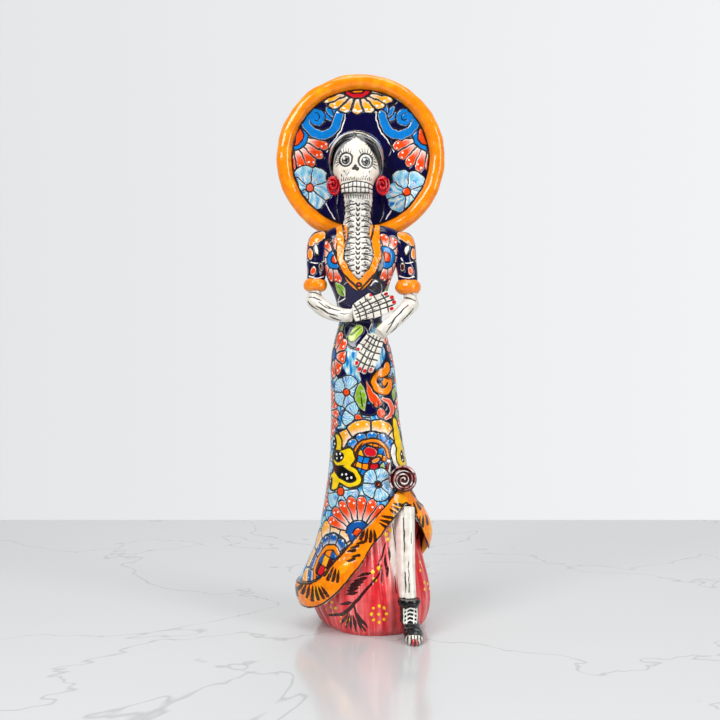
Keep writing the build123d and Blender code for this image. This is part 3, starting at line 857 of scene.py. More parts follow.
def back_flower(cv, at, size, kind):
    """One of the dress's flowers, by kind."""
    turn = 37 * kind
    if kind % 5 == 0:
        fan(cv, at, turn, size, [(size * 0.36, CERULEAN), (size * 0.2, FLAME)], 9, 360, FLAME)
    elif kind % 5 in (1, 4):
        daisy(cv, at, size * 0.92, size * 0.2, count=5 + kind % 3, turn=turn)
    elif kind % 5 == 2:
        petals(cv, at, turn, size, size * 0.62, 9, 360, GOLD, dots=2, round_end=0.1)
        petals(cv, at, turn, size * 0.62, size * 0.4, 8, 360, DEEP_BLUE, dots=1)
        mosaic_disc(cv, at, size * 0.4)
    else:
        wings = [(at, size * 0.9, size * 0.55, turn), (at, size * 0.5, size * 0.85, turn)]
        blob(cv, wings, YELLOW, 0.7, 0.0, 1.2)
        blob(cv, [(at, size * 0.6, size * 0.3, turn)], INK, 0.1)
        glaze_dots(cv, [(at[0] - 2, at[1] + 1), (at[0] + 2, at[1] - 1), (at[0], at[1] + 2)], 0.95)
    leaf(cv, (at[0] + size * 0.95, at[1] - size * 0.8), 40 + turn % 90, size * 0.85, size * 0.42)


def build_skirt():
    fine = np.linspace(0, radians(100), 210)
    coarse = np.linspace(radians(100), pi, 90)[1:]
    turns = np.concatenate([-coarse[::-1], -fine[:0:-1], fine, coarse])
    below = ("hem_band_front", "hem_band_back", "underskirt")
    points, met, turns = wrap_grid("skirt_shell", ((4, 1), (1, 0)), 44, 301.9, 440, turns, below)
    cv = WrapCanvas(points, turns, NAVY)
    paint_skirt_back(cv)
    paint_skirt(cv)
    grid_piece("skirt_paint", points, met, cv, GLAZE)


def paint_bodice(cv):
    """Fan flowers either side of the neckline, navy below."""
    at = cv.front
    leaf(cv, at(-14.5, 390), 150, 14, 8)
    leaf(cv, at(16, 392), -150, 12, 7)
    fan(cv, at(-24.5, 364), -35, 24, [(10, CERULEAN), (4.5, FLAME)], 11, 330, FLAME)
    fan(cv, at(26, 366), 35, 24, [(11, CERULEAN), (5, FLAME)], 11, 330, FLAME)
    petals(cv, at(35, 340), -15, 13, 4, 5, 160, FLAME)
    blob(cv, [(at(2, 322), 30, 11, 0), (at(-3, 334), 17, 10, 0), (at(12, 336), 12, 8, 0)], NAVY, 0.6, 0.9)
    brush(cv, [at(x, min(z, 398)) for x, z in TRIM_EDGE], [3.4, 3.4])
    leaf(cv, at(-19, 334), -24, 17, 12.5)
    leaf(cv, at(25.5, 333), 8, 15, 7)
    thin_line(cv, curve(at(-23, 322), at(-14, 325), at(-11, 333)), 0.9)
    thin_line(cv, curve(at(8, 336), at(14, 342), at(20, 340)), 0.9)
    for degrees in (122, -122):
        fan(cv, cv.turned(degrees, 354), 0, 16, [(6, CERULEAN), (3, FLAME)], 9, 360, FLAME, dots=1)
        leaf(cv, cv.turned(degrees, 328), 30, 15, 8)
        daisy(cv, cv.turned(degrees, 380), 11, 2.4)
    fan(cv, cv.turned(180, 362), 0, 22, [(8, DEEP_BLUE), (4, ORANGE)], 11, 360, GOLD)
    for degrees in (180, 150, -150):
        daisy(cv, cv.turned(degrees, 326 - abs(degrees) / 30), 12)


def build_bodice():
    points, met, turns = wrap_grid("bodice_shell", ((1, 0), (1, 0)), 302.1, 398.6, 190, 440)
    cv = WrapCanvas(points, turns, NAVY, seed=8)
    paint_bodice(cv)
    grid_piece("bodice_paint", points, met, cv, GLAZE)


def build_sleeve(node, axis, low, high, side):
    """Navy, with orange patches at the shoulder and flame ovals near the cuff."""
    points, met, turns = wrap_grid(node, axis, low, high, 100, 220)
    cv = WrapCanvas(points, turns, NAVY, seed=21)
    middle = axis[0][0]

    def at(x, z):
        return cv.front(middle + side * x, z)

    for k, degrees in enumerate((100, 150, -100, -150, 180)):
        place = cv.turned(degrees, high - 19 - 6 * (k % 2))
        fan(cv, place, 30 * k, 11, [(4, CERULEAN), (2, FLAME)], 8, 360, FLAME, dots=1)
        disc(cv, cv.turned(degrees + 14, low + 10), 4.4, FLAME, 0.5, 0.9)
    petals(cv, at(-13, 372), -side * 75, 14, 5, 5, 170, FLAME, dots=1)
    blob(cv, [(at(2, 384), 8, 6, side * 40), (at(-5, 388), 5, 4, 0)], ORANGE, 0.6, 0.7)
    blob(cv, [(at(5.5, 370), 3.6, 7, side * 8)], ORANGE, 0.6, 0.8)
    blob(cv, [(at(-1, 374), 2.4, 6, side * 20)], WHITE, 0.6)
    blob(cv, [(at(2.5, 353), 3.4, 4.6, -side * 10)], FLAME, 0.6, 0.9)
    blob(cv, [(at(-5.5, 357), 2.8, 5, side * 14)], MAROON, 0.5, 0.7)
    thin_line(cv, curve(at(-7, 366), at(-3, 361), at(3, 361.5), at(8, 364)), 0.9)
    thin_line(cv, curve(at(-8, 348), at(-2, 346), at(6, 347.5)), 0.9)
    grid_piece(node + "_paint", points, met, cv, GLAZE)


build_skirt()
build_bodice()
build_sleeve("sleeve_right", ((-44, -4), (-40, 0)), 343.2, 393.2, -1)
build_sleeve("sleeve_left", ((47.5, -4), (43, 0)), 342.2, 392.2, 1)


# ================================================================ the hat

HAT = Vector((0.5, 0.0, 470.0))


def brim_grid(front):
    """Points on one side of the brim, on circles about its centre."""
    tree = cad_tree("hat_brim")
    radii = np.linspace(2.0, 78.5, 150)[:, None]
    turns = np.linspace(-pi, pi, 740)[None]
    x = HAT.x + radii * np.sin(turns)
    z = HAT.z + radii * np.cos(turns)
    y = np.full(x.shape, -100.0 if front else 120.0)
    origins = np.stack([x, y, z], -1)
    way = np.zeros_like(origins)
    way[..., 1] = 1 if front else -1
    points, met = cast(tree, origins, way)
    points = np.where(met[..., None], points, np.stack([x, np.full(x.shape, 20.0), z], -1))
    return points, met


def scroll(cv, m):
    """A blue volute: a curled head, a broad bowl and a three-leaved foot. m is -1 on the left."""
    blob(cv, [((m * 40, 39), 17, 14, 0), ((m * 44, 51), 15, 9, -m * 30)], NAVY, 0.5, 0.6)
    for x, z, turn in ((33.5, 42.5, 52), (31.0, 47.5, 30), (25.0, 49, 6)):
        blob(cv, [((m * x, z), 3.5, 7.2, m * turn)], CERULEAN, 0.6, 0.4)
    disc(cv, (m * 44.6, 41.4), 8.8, CERULEAN, 0.7, 0.4)
    bowl = [(46, 46.5), (51.5, 46.5), (55.5, 41.5), (55, 34), (48, 26.5), (38, 24), (28.5, 28.5), (24, 37),
            (21.5, 45)]
    ribbon(cv, curve(*[(m * x, z) for x, z in bowl]), [6, 8, 9, 9.6, 10, 10, 10.5, 9], CERULEAN, 0.7, 0.5)
    disc(cv, (m * 44.8, 42.2), 8.0, CERULEAN, 0.0)
    brush(cv, spiral((m * 45.2, 41.4), 4.8, 2.4, 90 - m * 20, 90 - m * 20 + m * 230, 16), [0.5, 1.0, 0.6])


def paint_brim(cv):
    """The dish's front: gold fan on top, scrolls, orange fans and pale blue daisies."""
    for side, daisy_at, hub in ((-1, (-51.5, -30), CORAL), (1, (47.0, -34), FLAME)):
        rings = [(16, CERULEAN), (11, FLAME)]
        fan(cv, (side * 69, 23.5), -side * 136, 38.5, rings, 6, 112, FLAME, line=0.75)
        daisy(cv, daisy_at, 23.5, 4.3, hub, 6, 8)
    navy = [((-1, 18), 32, 36, 0), ((-1, -20), 33, 16, 0), ((-1, -48), 24, 30, 0)]
    blob(cv, navy, NAVY, 0.5, 0.0, 2.5)
    edge_lines = ([(15.5, 46), (17.5, 35), (24, 22.5), (30, 15), (34, 7)], [(26, -62), (33, -50), (38, -40)])
    for side in (-1, 1):
        scroll(cv, side)
        for line in edge_lines:
            thin_line(cv, curve(*[(side * x, z) for x, z in line]), 0.9)
    petals(cv, (-3.5, 68.5), 180, 23.5, 8.0, 9, 186, GOLD, line=0.7, squash=(1.75, 1))
    ring(cv, (-3.5, 68.5), 7.8, -1, SCARLET, 0.7, squash=(1.75, 1))
    ring(cv, (-3.5, 69.5), 3.6, -1, ORANGE, 0.6, squash=(2.2, 1))
    thin_line(cv, curve((-24, 47), (-3, 48.5), (20, 47)), 0.9)
    near, x, y = cv.around((0, 0), 90)
    cv.region(near, 69.2 - np.hypot(x, y), ORANGE, 0.8)


def paint_brim_back(cv):
    """The back of the brim: a ring of petals round the crown."""
    petals(cv, (0, 0), 0, 68, 42, 22, 360, FLAME, dots=2, round_end=0.12)
    near, x, y = cv.around((0, 0), 90)
    r = np.hypot(x, y)
    cv.region(near, np.maximum(r - 42, 33 - r), CERULEAN, 0.6)
    cv.region(near, 72 - r, ORANGE, 0.6)
    for k in range(16):
        a = k * pi / 8
        glaze_dots(cv, [(37.5 * sin(a), 37.5 * cos(a))], 1.6)


def build_brim():
    """Painted skins on both faces of the dish."""
    sides = (("brim_paint", True, paint_brim), ("brim_back_paint", False, paint_brim_back))
    for name, front, painter in sides:
        points, met = brim_grid(front)
        cv = Canvas(points[..., 0] - HAT.x, points[..., 2] - HAT.z, NAVY, wobble=0.5, seed=31)
        painter(cv)
        if not front:
            points, met = points[:, ::-1], met[:, ::-1]
            for field in ("fill", "ink", "dots"):
                setattr(cv, field, getattr(cv, field)[:, ::-1])
        grid_piece(name, points, met, cv, GLAZE)


build_brim()


def sculpt(name, node, voxel, ground, painter=None, shaper=None, slot="bone_glaze", smooth=2, groove=0.25):
    """A CAD node as a finer, hand-shaped and painted mesh that stands for it."""
    material = BONE_GLAZE if slot == "bone_glaze" else GLAZE
    verts, quads = remeshed(node, voxel, smooth)
    normals = vertex_normals(verts, quads)
    cv = Canvas(verts[:, 0], verts[:, 2], ground, wobble=0.3, seed=len(node))
    cv.verts, cv.normals = verts, normals
    cv.height = np.zeros(len(verts))
    if painter:
        painter(cv)
    if shaper:
        cv.height += shaper(verts)
    cv.height -= groove * (1 - ramp(cv.ink, -0.6, 0.5))
    verts = verts + normals * cv.height[:, None]
    return make_piece(name, verts, quads, cv, material, [node])


def hand_rolled(size, amount, seed):
    """Unevenness of clay rolled by hand."""

    def shaper(verts):
        return amount * ripple(verts, size, seed) + amount * 0.4 * ripple(verts, size / 3, seed + 1)

    return shaper


def orange_wash(cv):
    """Orange glaze, yellower where it is thin."""
    thin = ramp(ripple(cv.verts, 16, 77), 0.1, 1.0)
    deep = ramp(ripple(cv.verts, 11, 78), 0.3, 1.0)
    cv.fill[:] = blend(blend(ORANGE, GOLD, 0.45 * thin), rgb(238, 122, 4), 0.3 * deep)


def rim_shape(verts):
    """The rolled rim's uneven crest."""
    return 0.5 * ripple(verts, 34, 5) + 0.22 * ripple(verts, 12, 6)


def paint_trim(cv):
    """Orange, inked along both edges."""
    orange_wash(cv)
    brush(cv, CHEST_EDGE, [1.9, 1.9])
    brush(cv, TRIM_EDGE, [1.9, 1.9])
    blob(cv, [((-1, 338.5), 2.2, 1.6, 0)], FLAME, 0.6)


def paint_crown(cv):
    """A flower on the cap, with petals running down its side."""
    cv.x, cv.y = cv.x - HAT.x, cv.y - HAT.z
    r = np.hypot(cv.x, cv.y)
    deep = np.clip((cv.verts[:, 1].max() - cv.verts[:, 1]) / 36, 0, 1)
    flat = 1 + 0.6 * deep * (r > 20)
    cv.x, cv.y = cv.x * flat, cv.y * flat
    fan(cv, (0, 0), 0, 50, [(26, SKY), (9, FLAME)], 14, 360, FLAME, dots=2)
    petals(cv, (0, 0), 0, 26, 9, 9, 360, CERULEAN, dots=1)
    disc(cv, (0, 0), 9, FLAME)
    disc(cv, (0, 0), 4, GOLD)


sculpt("hat_rim_roll", "hat_rim", 1.0, ORANGE, orange_wash, rim_shape, slot="orange_glaze")
sculpt("hat_cap", "hat_crown", 0.9, NAVY, paint_crown, slot="hat_glaze")
coil = hand_rolled(11, 0.35, 9)
sculpt("neckline_coil", "neckline_trim", 0.5, ORANGE, paint_trim, coil, slot="orange_glaze")
for side in ("right", "left"):
    coil = hand_rolled(10, 0.3, 12)
    sculpt("sleeve_cuff_" + side, "cuff_" + side, 0.6, ORANGE, orange_wash, coil, slot="orange_glaze")


# ================================================================ hem and underskirt

# the hem's edges, seen from the front
HEM_TOP = [(-78, 45), (-61, 46), (-43, 52), (-24.5, 71.5), (-8.5, 89), (11, 110), (30, 131), (43, 145),
           (54, 131), (66, 118), (86, 108)]
HEM_FOOT = [(-78, 25), (-58, 22), (-41, 26), (-26.5, 37), (-14, 50), (-6, 60), (2.5, 70), (10, 83),
            (18.5, 93), (29.5, 107), (40, 119), (46, 124), (53.5, 113), (61, 98), (68, 78), (86, 38)]
HEM_TOP_BACK = [(-78, 45), (-61, 46), (-25, 51), (12, 63), (45, 86), (66, 118), (86, 152)]
HEM_FOOT_BACK = [(-78, 25), (-58, 22), (-25, 26), (12, 35), (45, 52), (68, 78), (86, 110)]


def hem_wash(cv):
    """Orange glaze, yellow where thin and red where thick."""
    thin = ramp(ripple(cv.verts, 18, 41), 0.0, 1.0)
    dark = ramp(ripple(cv.verts, 9, 42), 0.35, 1.0)
    cv.fill[:] = blend(blend(ORANGE, YELLOW, 0.35 * thin), FLAME, 0.4 * dark)


def spray(cv, at, turn, length, count, fan_of, width):
    """A spray of brushed leaves hanging from a place, each swelling to a round end."""
    side = radians(turn + 90)
    for k in range(count):
        place = k - (count - 1) / 2
        lean = radians(turn + place * fan_of)
        x, z = at[0] + 2.6 * place * sin(side), at[1] + 2.6 * place * cos(side)
        grow = length * (1 - 0.08 * abs(place))
        start = (x + 1.5 * sin(lean), z + 1.5 * cos(lean))
        end = (x + grow * sin(lean), z + grow * cos(lean))
        brush(cv, [start, end], [0.7, width * 0.7, width, width * 0.85])
        cv.stains.append((end, width * 0.6))


def band_edges(cv, top, foot):
    """Ink along a band's upper edge, ink and a pale line along the lower one."""
    brush(cv, [(x, z - 0.6) for x, z in curve(*top, steps=3)], [2.0, 2.0])
    brush(cv, [(x, z + 1.6) for x, z in curve(*foot, steps=3)], [1.5, 1.5])
    thin_line(cv, [(x, z + 0.1) for x, z in curve(*foot, steps=3)], 0.9)


def stain(cv):
    """Dark red showing through at the thick end of some leaves."""
    for place, radius in cv.stains[::3]:
        near, x, y = cv.around(place, radius + 2)
        edge = np.hypot(x, y) - radius
        cv.fill[near] = np.where((edge < 0)[:, None], MAROON, cv.fill[near])
        cv.ink[near] = np.where(edge < -0.1, np.maximum(cv.ink[near], 0.4), cv.ink[near])


def paint_hem_front(cv):
    hem_wash(cv)
    cv.stains = []
    cv.mask = cv.normals[:, 1] < 0.45
    spray(cv, (-46, 48), 180, 15, 7, 13, 3.3)
    spray(cv, (-66, 44), 190, 12, 3, 16, 3.0)
    spray(cv, (-25, 67), 205, 14, 5, 9, 3.3)
    for x, z in ((-6, 86), (-9, 82.5), (-5, 78), (-10, 74), (-1, 90)):
        brush(cv, [(x + 4, z), (x - 3, z - 2)], [3.0, 2.6, 0.8])
    spray(cv, (9.5, 104), 188, 14, 4, 10, 3.3)
    spray(cv, (18, 112), 112, 13, 3, 14, 3.1)
    spray(cv, (29, 124), 118, 13, 3, 14, 3.1)
    spray(cv, (52, 126), 165, 11, 3, 14, 2.9)
    spray(cv, (62, 113), 180, 11, 3, 14, 2.9)
    stain(cv)
    band_edges(cv, HEM_TOP, HEM_FOOT)
    cv.mask = np.ones(len(cv.x), bool)


def paint_hem_back(cv):
    hem_wash(cv)
    cv.stains = []
    cv.mask = cv.normals[:, 1] > -0.2
    roots = [(-54, 45), (-38, 47), (-22, 50), (-6, 56), (10, 61), (26, 72), (42, 83), (56, 102)]
    for k, at in enumerate(roots):
        turn, count = (170, 5) if k % 2 else (195, 4)
        spray(cv, at, turn, 12, count, 12, 2.7)
    stain(cv)
    band_edges(cv, HEM_TOP_BACK, HEM_FOOT_BACK)
    cv.mask = np.ones(len(cv.x), bool)


for name, node, voxel, painter, seed in (
    ("hem_front", "hem_band_front", 0.8, paint_hem_front, 51),
    ("hem_back", "hem_band_back", 0.9, paint_hem_back, 52),
):
    rolled = hand_rolled(22, 0.35, seed)
    sculpt(name, node, voxel, ORANGE, painter, rolled, slot="hem_glaze", groove=0.08)


def pleats(turns, heights):
    """Depth of the underskirt's fluting, 0 in the grooves."""
    angle = turns[None, :] * 30 + 0.7 * np.sin(turns[None, :] * 7) + 0.25 * np.sin(heights[:, None] / 17)
    return (0.5 + 0.5 * np.cos(angle)) ** 0.7


def paint_underskirt(cv, folds):
    across = cv.turns[None, :] * 52 + 0 * cv.arc
    strand = pair(across, cv.points[..., 2] * 0.07)
    streak = 0.65 * ripple(strand, 6.5, 61) + 0.45 * ripple(strand, 2.6, 63)
    broad = ripple(pair(across, cv.points[..., 2] * 0.25), 26, 62)
    wash = np.clip(0.36 + 0.4 * streak + 0.3 * broad + 0.2 * (folds - 0.5), 0, 1)
    cv.fill[:] = blend(ROSE, PINK, wash)
    cv.fill[:] = blend(cv.fill, WHITE, 0.6 * ramp(streak * 0.8 + broad * 0.4, 0.45, 1.1))
    at = cv.front
    pale = ramp(np.abs(cv.points[..., 0] - 34 - 0.03 * (cv.points[..., 2] - 60)), 9, 3)
    pale = pale * (cv.points[..., 1] < 0) * ramp(cv.points[..., 2], 40, 75)
    cv.fill[:] = blend(cv.fill, WHITE, np.clip(pale + 0.4 * streak * pale, 0, 0.92))
    stem = [(-31, 15), (-15, 20.5), (-5.4, 29), (2.1, 37.6), (11.8, 50.6), (16.2, 58), (18.4, 66.5)]
    brush(cv, curve(*[at(*p) for p in stem]), [1.6, 3.0, 3.2, 2.8, 2.4, 1.6, 1.0])
    brush(cv, curve(at(-5.4, 29), at(-3.2, 21), at(0, 14), at(5, 6)), [1.6, 1.9, 2.4, 1.8])
    tips = [(11, 60), (7, 55.4), (3.5, 52), (1, 49), (-1, 45.8), (-2.4, 42), (-7.6, 32.5)]
    for k, (x, z) in enumerate(tips):
        reach = 13 - 0.5 * k
        brush(cv, curve(at(x, z), at(x - reach * 0.5, z - 1.2), at(x - reach, z - 3)), [0.7, 3.1, 2.9, 1.0])
    brush(cv, curve(at(17.6, 67), at(21.8, 77), at(25, 88)), [1.0, 1.6, 1.0])
    for x, low, high in ((31, 62, 110), (35.5, 46, 108), (38.5, 70, 112), (33, 40, 56)):
        brush(cv, [at(x, high), at(x + 0.8, low)], [0.4, 0.9, 0.5])
    for x, z, length in ((24, 77, 14), (28, 84, 13), (21, 63, 13), (26, 66, 10)):
        brush(cv, [at(x, z), at(x - 0.6, z - length)], [0.6, 2.4, 2.0, 0.7])
    root = at(-7, 28)
    for degrees in (-36, -20, -6, 8, 22, 36):
        lean = radians(180 + degrees)
        leaf_path = [(root[0] + r * sin(lean), root[1] + r * cos(lean)) for r in (8, 16, 24)]
        brush(cv, leaf_path, [0.8, 2.9, 0.9])
    for x, z in ((57, 100), (59, 86)):
        spray_at = at(x, z)
        for lean in (150, 175, 200):
            end = (spray_at[0] + 12 * sin(radians(lean)), spray_at[1] + 12 * cos(radians(lean)))
            brush(cv, [spray_at, end], [0.8, 2.6, 2.0])
    clusters = [((-28, 25), 5.2, 5), ((-14, 15), 5, 5), ((18, 22), 7, 8), ((66, 43), 5, 5), ((60, 62), 4, 3)]
    for (x, z), wide, count in clusters:
        for k in range(count):
            angle = k * 2 * pi / count
            glaze_dots(cv, [at(x + wide * cos(angle), z + wide * 1.1 * sin(angle))], 1.35)
        glaze_dots(cv, [at(x, z)], 1.35)
    buds = ((29, 100), (25, 95.5), (27, 91), (18, 64.5), (12.4, 61), (14, 54), (58, 93))
    glaze_dots(cv, [at(*p) for p in buds], 1.9)
    for degrees in range(110, 255, 24):
        side_at = cv.turned(degrees if degrees <= 180 else degrees - 360, 36 + 8 * sin(degrees))
        foot, top = (side_at[0] - 9, side_at[1] - 18), (side_at[0] + 4, side_at[1] + 20)
        brush(cv, curve(foot, side_at, top), [1.0, 2.4, 1.0])
        glaze_dots(cv, [(side_at[0] + 8 + 4 * cos(k), side_at[1] + 4 * sin(k)) for k in range(6)], 1.3)


def build_underskirt():
    points, met, turns = wrap_grid("underskirt", ((11.5, 0.5), (8, 1)), 0.25, 128, 210, 660)
    cv = WrapCanvas(points, turns, ROSE, seed=71)
    folds = pleats(turns, points[:, 0, 2])
    paint_underskirt(cv, folds)
    quads = grid_quads(met)
    verts = points.reshape(-1, 3)
    normals = vertex_normals(verts, quads)
    normals[:, 2] *= 0.2
    fade = ramp(points[..., 2], 0, 6) * (1 - ramp(points[..., 2], 100, 120))
    lift = relief_of(cv, 0.15) + (0.15 + 1.3 * folds) * fade
    verts = verts + normals * lift.reshape(-1, 1)
    make_piece("underskirt_paint", verts, quads, cv, YELLOW_DOT_GLAZE)


build_underskirt()


# ================================================================ rolled roses


def rolled_rose(node, radius, turns, colour, shade, squeeze=1.0):
    """A strip of clay wound into a rose, facing -Y, with painted shade in its deep turns and core."""
    low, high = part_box(node)
    low, high = low / MM, high / MM
    cx, cz = (low.x + high.x) / 2, (low.z + high.z) / 2
    back = high.y
    front = low.y
    steps, around = int(70 * turns), 14
    verts, quads, shades, crest_light = [], [], [], []
    pitch = (radius - 1.2) / turns
    for k in range(steps + 1):
        t = k / steps
        angle = t * turns * 2 * pi
        spiral_r = 0.8 + (radius - 2.0) * t ** 0.85 + 0.9 * t * sin(angle * 0.62 + 1.0)
        rise = front + 1.0 + (1 - t) * -0.6 + 2.2 * t**2 + 0.35 * sin(angle * 2.3)
        thick = pitch * (0.34 + 0.12 * sin(angle * 1.7))
        for j in range(around):
            b = 2 * pi * j / around
            flat_r = spiral_r + thick * 0.95 * cos(b)
            y = rise + (back - rise) * 0.5 * (1 - sin(b))
            verts.append((cx + squeeze * flat_r * cos(angle), y, cz + flat_r * sin(angle)))
            shades.append(t)
            crest_light.append(sin(b))
    for k in range(steps):
        for j in range(around):
            a, b = k * around + j, k * around + (j + 1) % around
            quads.append((a, b, b + around, a + around))
    verts, quads = np.array(verts), np.array(quads)
    core, core_quads = dome(cx, cz, radius * 0.93, front + 3.2, back, squeeze)
    quads = np.concatenate([quads, core_quads + len(verts)])
    verts = np.concatenate([verts, core])
    cv = Canvas(verts[:, 0], verts[:, 2], colour, wobble=0)
    # how far each point faces the front, for painted shade: 1 on the crests, -1 deep in the turns and over
    # the core
    top = np.concatenate([np.array(crest_light), np.full(len(core), -1.0)])
    patch = ripple(verts, 7, 15)
    # painted shade: the deep turns and the core take the shade colour, and the crests facing the front keep
    # the rose colour
    cv.fill[:] = blend(shade, colour, ramp(top + 0.35 * patch, -0.2, 0.6))
    return verts, quads, cv, top


def dome(cx, cz, radius, front, back, squeeze):
    """A closed pill that fills the middle of a rose."""
    rings, around = 12, 40
    verts, quads = [], []
    for k in range(rings + 1):
        a = pi * k / rings
        r = max(radius * sin(a) ** 0.6, 0.02)
        y = (front + back) / 2 - (back - front) / 2 * cos(a)
        for j in range(around):
            b = 2 * pi * j / around
            verts.append((cx + squeeze * r * cos(b), y, cz + r * sin(b)))
    for k in range(rings):
        for j in range(around):
            p, q = k * around + j, k * around + (j + 1) % around
            quads.append((p, p + around, q + around, q))
    return np.array(verts), np.array(quads)


def build_roses():
    # the second colour given to each rose is the painted shade of its deep turns
    verts, quads, cv, top = rolled_rose("hem_rosette", 14.0, 3.6, rgb(196, 120, 116), MAROON)
    streak = ripple(verts, 4.5, 17)
    cv.fill[:] = blend(cv.fill, rgb(40, 10, 14), ramp(streak, -0.1, 0.5))
    # painted highlight: white in patches along the crests that face the front
    cv.fill[:] = blend(cv.fill, WHITE, ramp(top, 0.75, 1.0) * ramp(ripple(verts, 9, 18), -0.3, 0.3))
    make_piece("rosette", verts, quads, cv, GLAZE, ["hem_rosette"])
    for side in ("right", "left"):
        node = "earring_" + side
        verts, quads, cv, top = rolled_rose(node, 10.6, 2.1, SCARLET, rgb(150, 8, 26), 0.68)
        make_piece("rose_" + node, verts, quads, cv, GLAZE, [node])


build_roses()


# ================================================================ head

HEAD = (-3.5, 466.0)


HAIR_TOP = 486.0
# the hair's lower edge: distances from the parting, and heights
HAIRLINE = ([0, 3, 8, 13, 18, 22, 24, 40], [483, 481.5, 478, 472.5, 465, 456, 440, 400])


def strands(verts):
    """Hair tone, dark below 0 and white above, in strands combed down and back from the parting."""
    aside = verts[:, 0] - HEAD[0] + 0.4
    root = verts[:, 1] - 0.45 * (HAIR_TOP - verts[:, 2])
    across = pair(root, 0.12 * np.abs(aside) + 30 * (aside > 0))
    return 0.7 * ripple(across, 7, 91) + 0.4 * ripple(across, 2.0, 92)


def hair_colour(verts):
    """Black hair with grey and white strands, partly brushwork and partly painted highlight, and a painted
    highlight growing towards the top of the head.
    """
    tone = strands(verts)
    # painted highlight: the hair grows lighter and whiter towards the top of the head
    top_highlight = ramp(verts[:, 2], 462, 484)
    tone = tone + 0.35 * top_highlight - 0.15
    colour = blend(rgb(12, 12, 14), rgb(126, 126, 128), ramp(tone, 0.0, 0.5))
    return blend(colour, WHITE, ramp(tone, 0.5, 1.0) * (0.35 + 0.65 * top_highlight))


def paint_skull(cv):
    """Round painted eyes with lashes, a small nose and two rows of teeth."""
    verts, normals = cv.verts, cv.normals
    tone = ramp(ripple(verts, 14, 81), -0.4, 1.0)
    cv.fill[:] = blend(BONE, rgb(205, 190, 168), 0.45 * tone)
    cv.mask = normals[:, 1] < 0.3
    x = HEAD[0]
    for place, size, side in (((-14.2, 461.5), 6.4, -1), ((5.6, 459.8), 6.9, 1)):
        paint_eye(cv, place, size, side)
    for dx, dz, size in ((-1.7, 0, 1.7), (1.6, -0.4, 1.8), (0, 2.2, 1.5)):
        near, a, b = cv.around((-4.6 + dx, 452.4 + dz), 4)
        cv.rule(near, np.hypot(a, b) - size)
    paint_teeth(cv, (-3.2, 434.6))
    for k in range(17):
        a = -14.5 + k * 1.8
        brush(cv, [(x + a, 441.4), (x + a * 1.03, 443.4 + 1.2 * (k % 2))], [0.7, 0.35])
    rng = np.random.default_rng(17)
    for _ in range(26):
        a, b = rng.uniform(-15, 15), rng.uniform(444, 450)
        if abs(a) > 5:
            brush(cv, [(x + a, b), (x + a * 1.04, b + 1.6)], [0.5, 0.3])
    cv.mask[:] = True
    # hair painted over the skull above the hairline, with its painted highlight towards the top
    gap = verts[:, 2] - np.interp(np.abs(verts[:, 0] - HEAD[0] + 0.4), *HAIRLINE)
    over = ramp(gap + 0.8 * ripple(verts, 3, 83), -0.5, 0.5)
    cv.fill[:] = blend(cv.fill, hair_colour(verts), over)
    cv.ink[:] = np.where(over > 0.5, FAR_AWAY, cv.ink)
    cv.dots[:] = np.where(over > 0.5, FAR_AWAY, cv.dots)
    cv.height += over * (0.5 + 0.05 * strands(verts))
    seam = np.where(verts[:, 2] > 484, np.abs(verts[:, 0] - HEAD[0] + 0.4) - 0.5, FAR_AWAY)
    cv.ink[:] = np.minimum(cv.ink, np.where(normals[:, 1] < 0.6, seam, FAR_AWAY))


def paint_eye(cv, at, size, side):
    """A white ball ringed in black, a grey iris with a highlight, and long lashes."""
    near, dx, dy = cv.around(at, 12)
    cv.height[near] -= 1.0 * (1 - ramp(np.hypot(dx, dy), 3, 9))
    disc(cv, at, size, WHITE, 0.8)
    centre = (at[0] + 0.3 * side, at[1] - 0.6)
    near, dx, dy = cv.around(centre, size)
    r, a = np.hypot(dx, dy), np.arctan2(dx, dy)
    grain = ripple(pair(a * 5, r * 0.2), 1.4, 84)
    iris = blend(rgb(60, 58, 58), rgb(170, 165, 160), ramp(grain, -0.2, 0.8))
    cv.fill[near] = blend(cv.fill[near], iris, 1 - ramp(r, size * 0.56, size * 0.62))
    cv.rule(near, np.minimum(np.abs(r - size * 0.6) - 0.35, r - size * 0.32))
    near, dx, dy = cv.around((centre[0] - 1.6, centre[1] + 1.9), 4)
    shine = np.hypot(dx, dy) - 1.5
    cv.fill[near] = blend(cv.fill[near], WHITE, 1 - ramp(shine, -0.3, 0.3))
    cv.ink[near] = np.where(shine < 0.4, np.maximum(cv.ink[near], 0.2 - shine), cv.ink[near])
    for k in range(11):
        a = radians(90 + side * (34 - 15.5 * k))
        p = (at[0] + (size + 1.7) * cos(a), at[1] + (size + 1.7) * sin(a))
        q = (at[0] + (size + 5.4) * cos(a), at[1] + (size + 5.4) * sin(a))
        brush(cv, [p, q], [0.8, 0.4])


def paint_teeth(cv, at):
    """Two rows of raised teeth."""
    near, x, y = cv.around(at, 19)
    half_wide, half_high = 16.0, 5.0
    y = y + 0.004 * x * x
    edge = np.maximum(np.abs(x) - half_wide, np.abs(y) - half_high * (1 - 0.25 * (x / half_wide) ** 2))
    cv.region(near, edge, WHITE, 0.6)
    row = np.abs(y) - 0.5
    gap = (np.abs((x / 3.9) % 1 - 0.5) - 0.5) * -3.9 - 0.32
    inside = edge < 0
    between = np.minimum(row, gap)
    cv.rule(near, np.where(inside, between, FAR_AWAY))
    bulge = 0.9 * ramp(-edge, 0, 1.2) - 0.4 * (1 - ramp(between, -0.3, 0.8))
    cv.height[near] += np.where(inside, bulge, 0)


def paint_hair(cv):
    """Strands from the parting to the ears, with a painted highlight towards the top."""
    cv.fill[:] = hair_colour(cv.verts)
    cv.height += 0.05 * strands(cv.verts)


sculpt("skull_bone", "skull", 0.6, BONE, paint_skull, groove=0.3)
for side in ("right", "left"):
    sculpt("hair_" + side + "_strands", "hair_" + side, 0.5, INK, paint_hair, slot="hair_glaze", smooth=1)


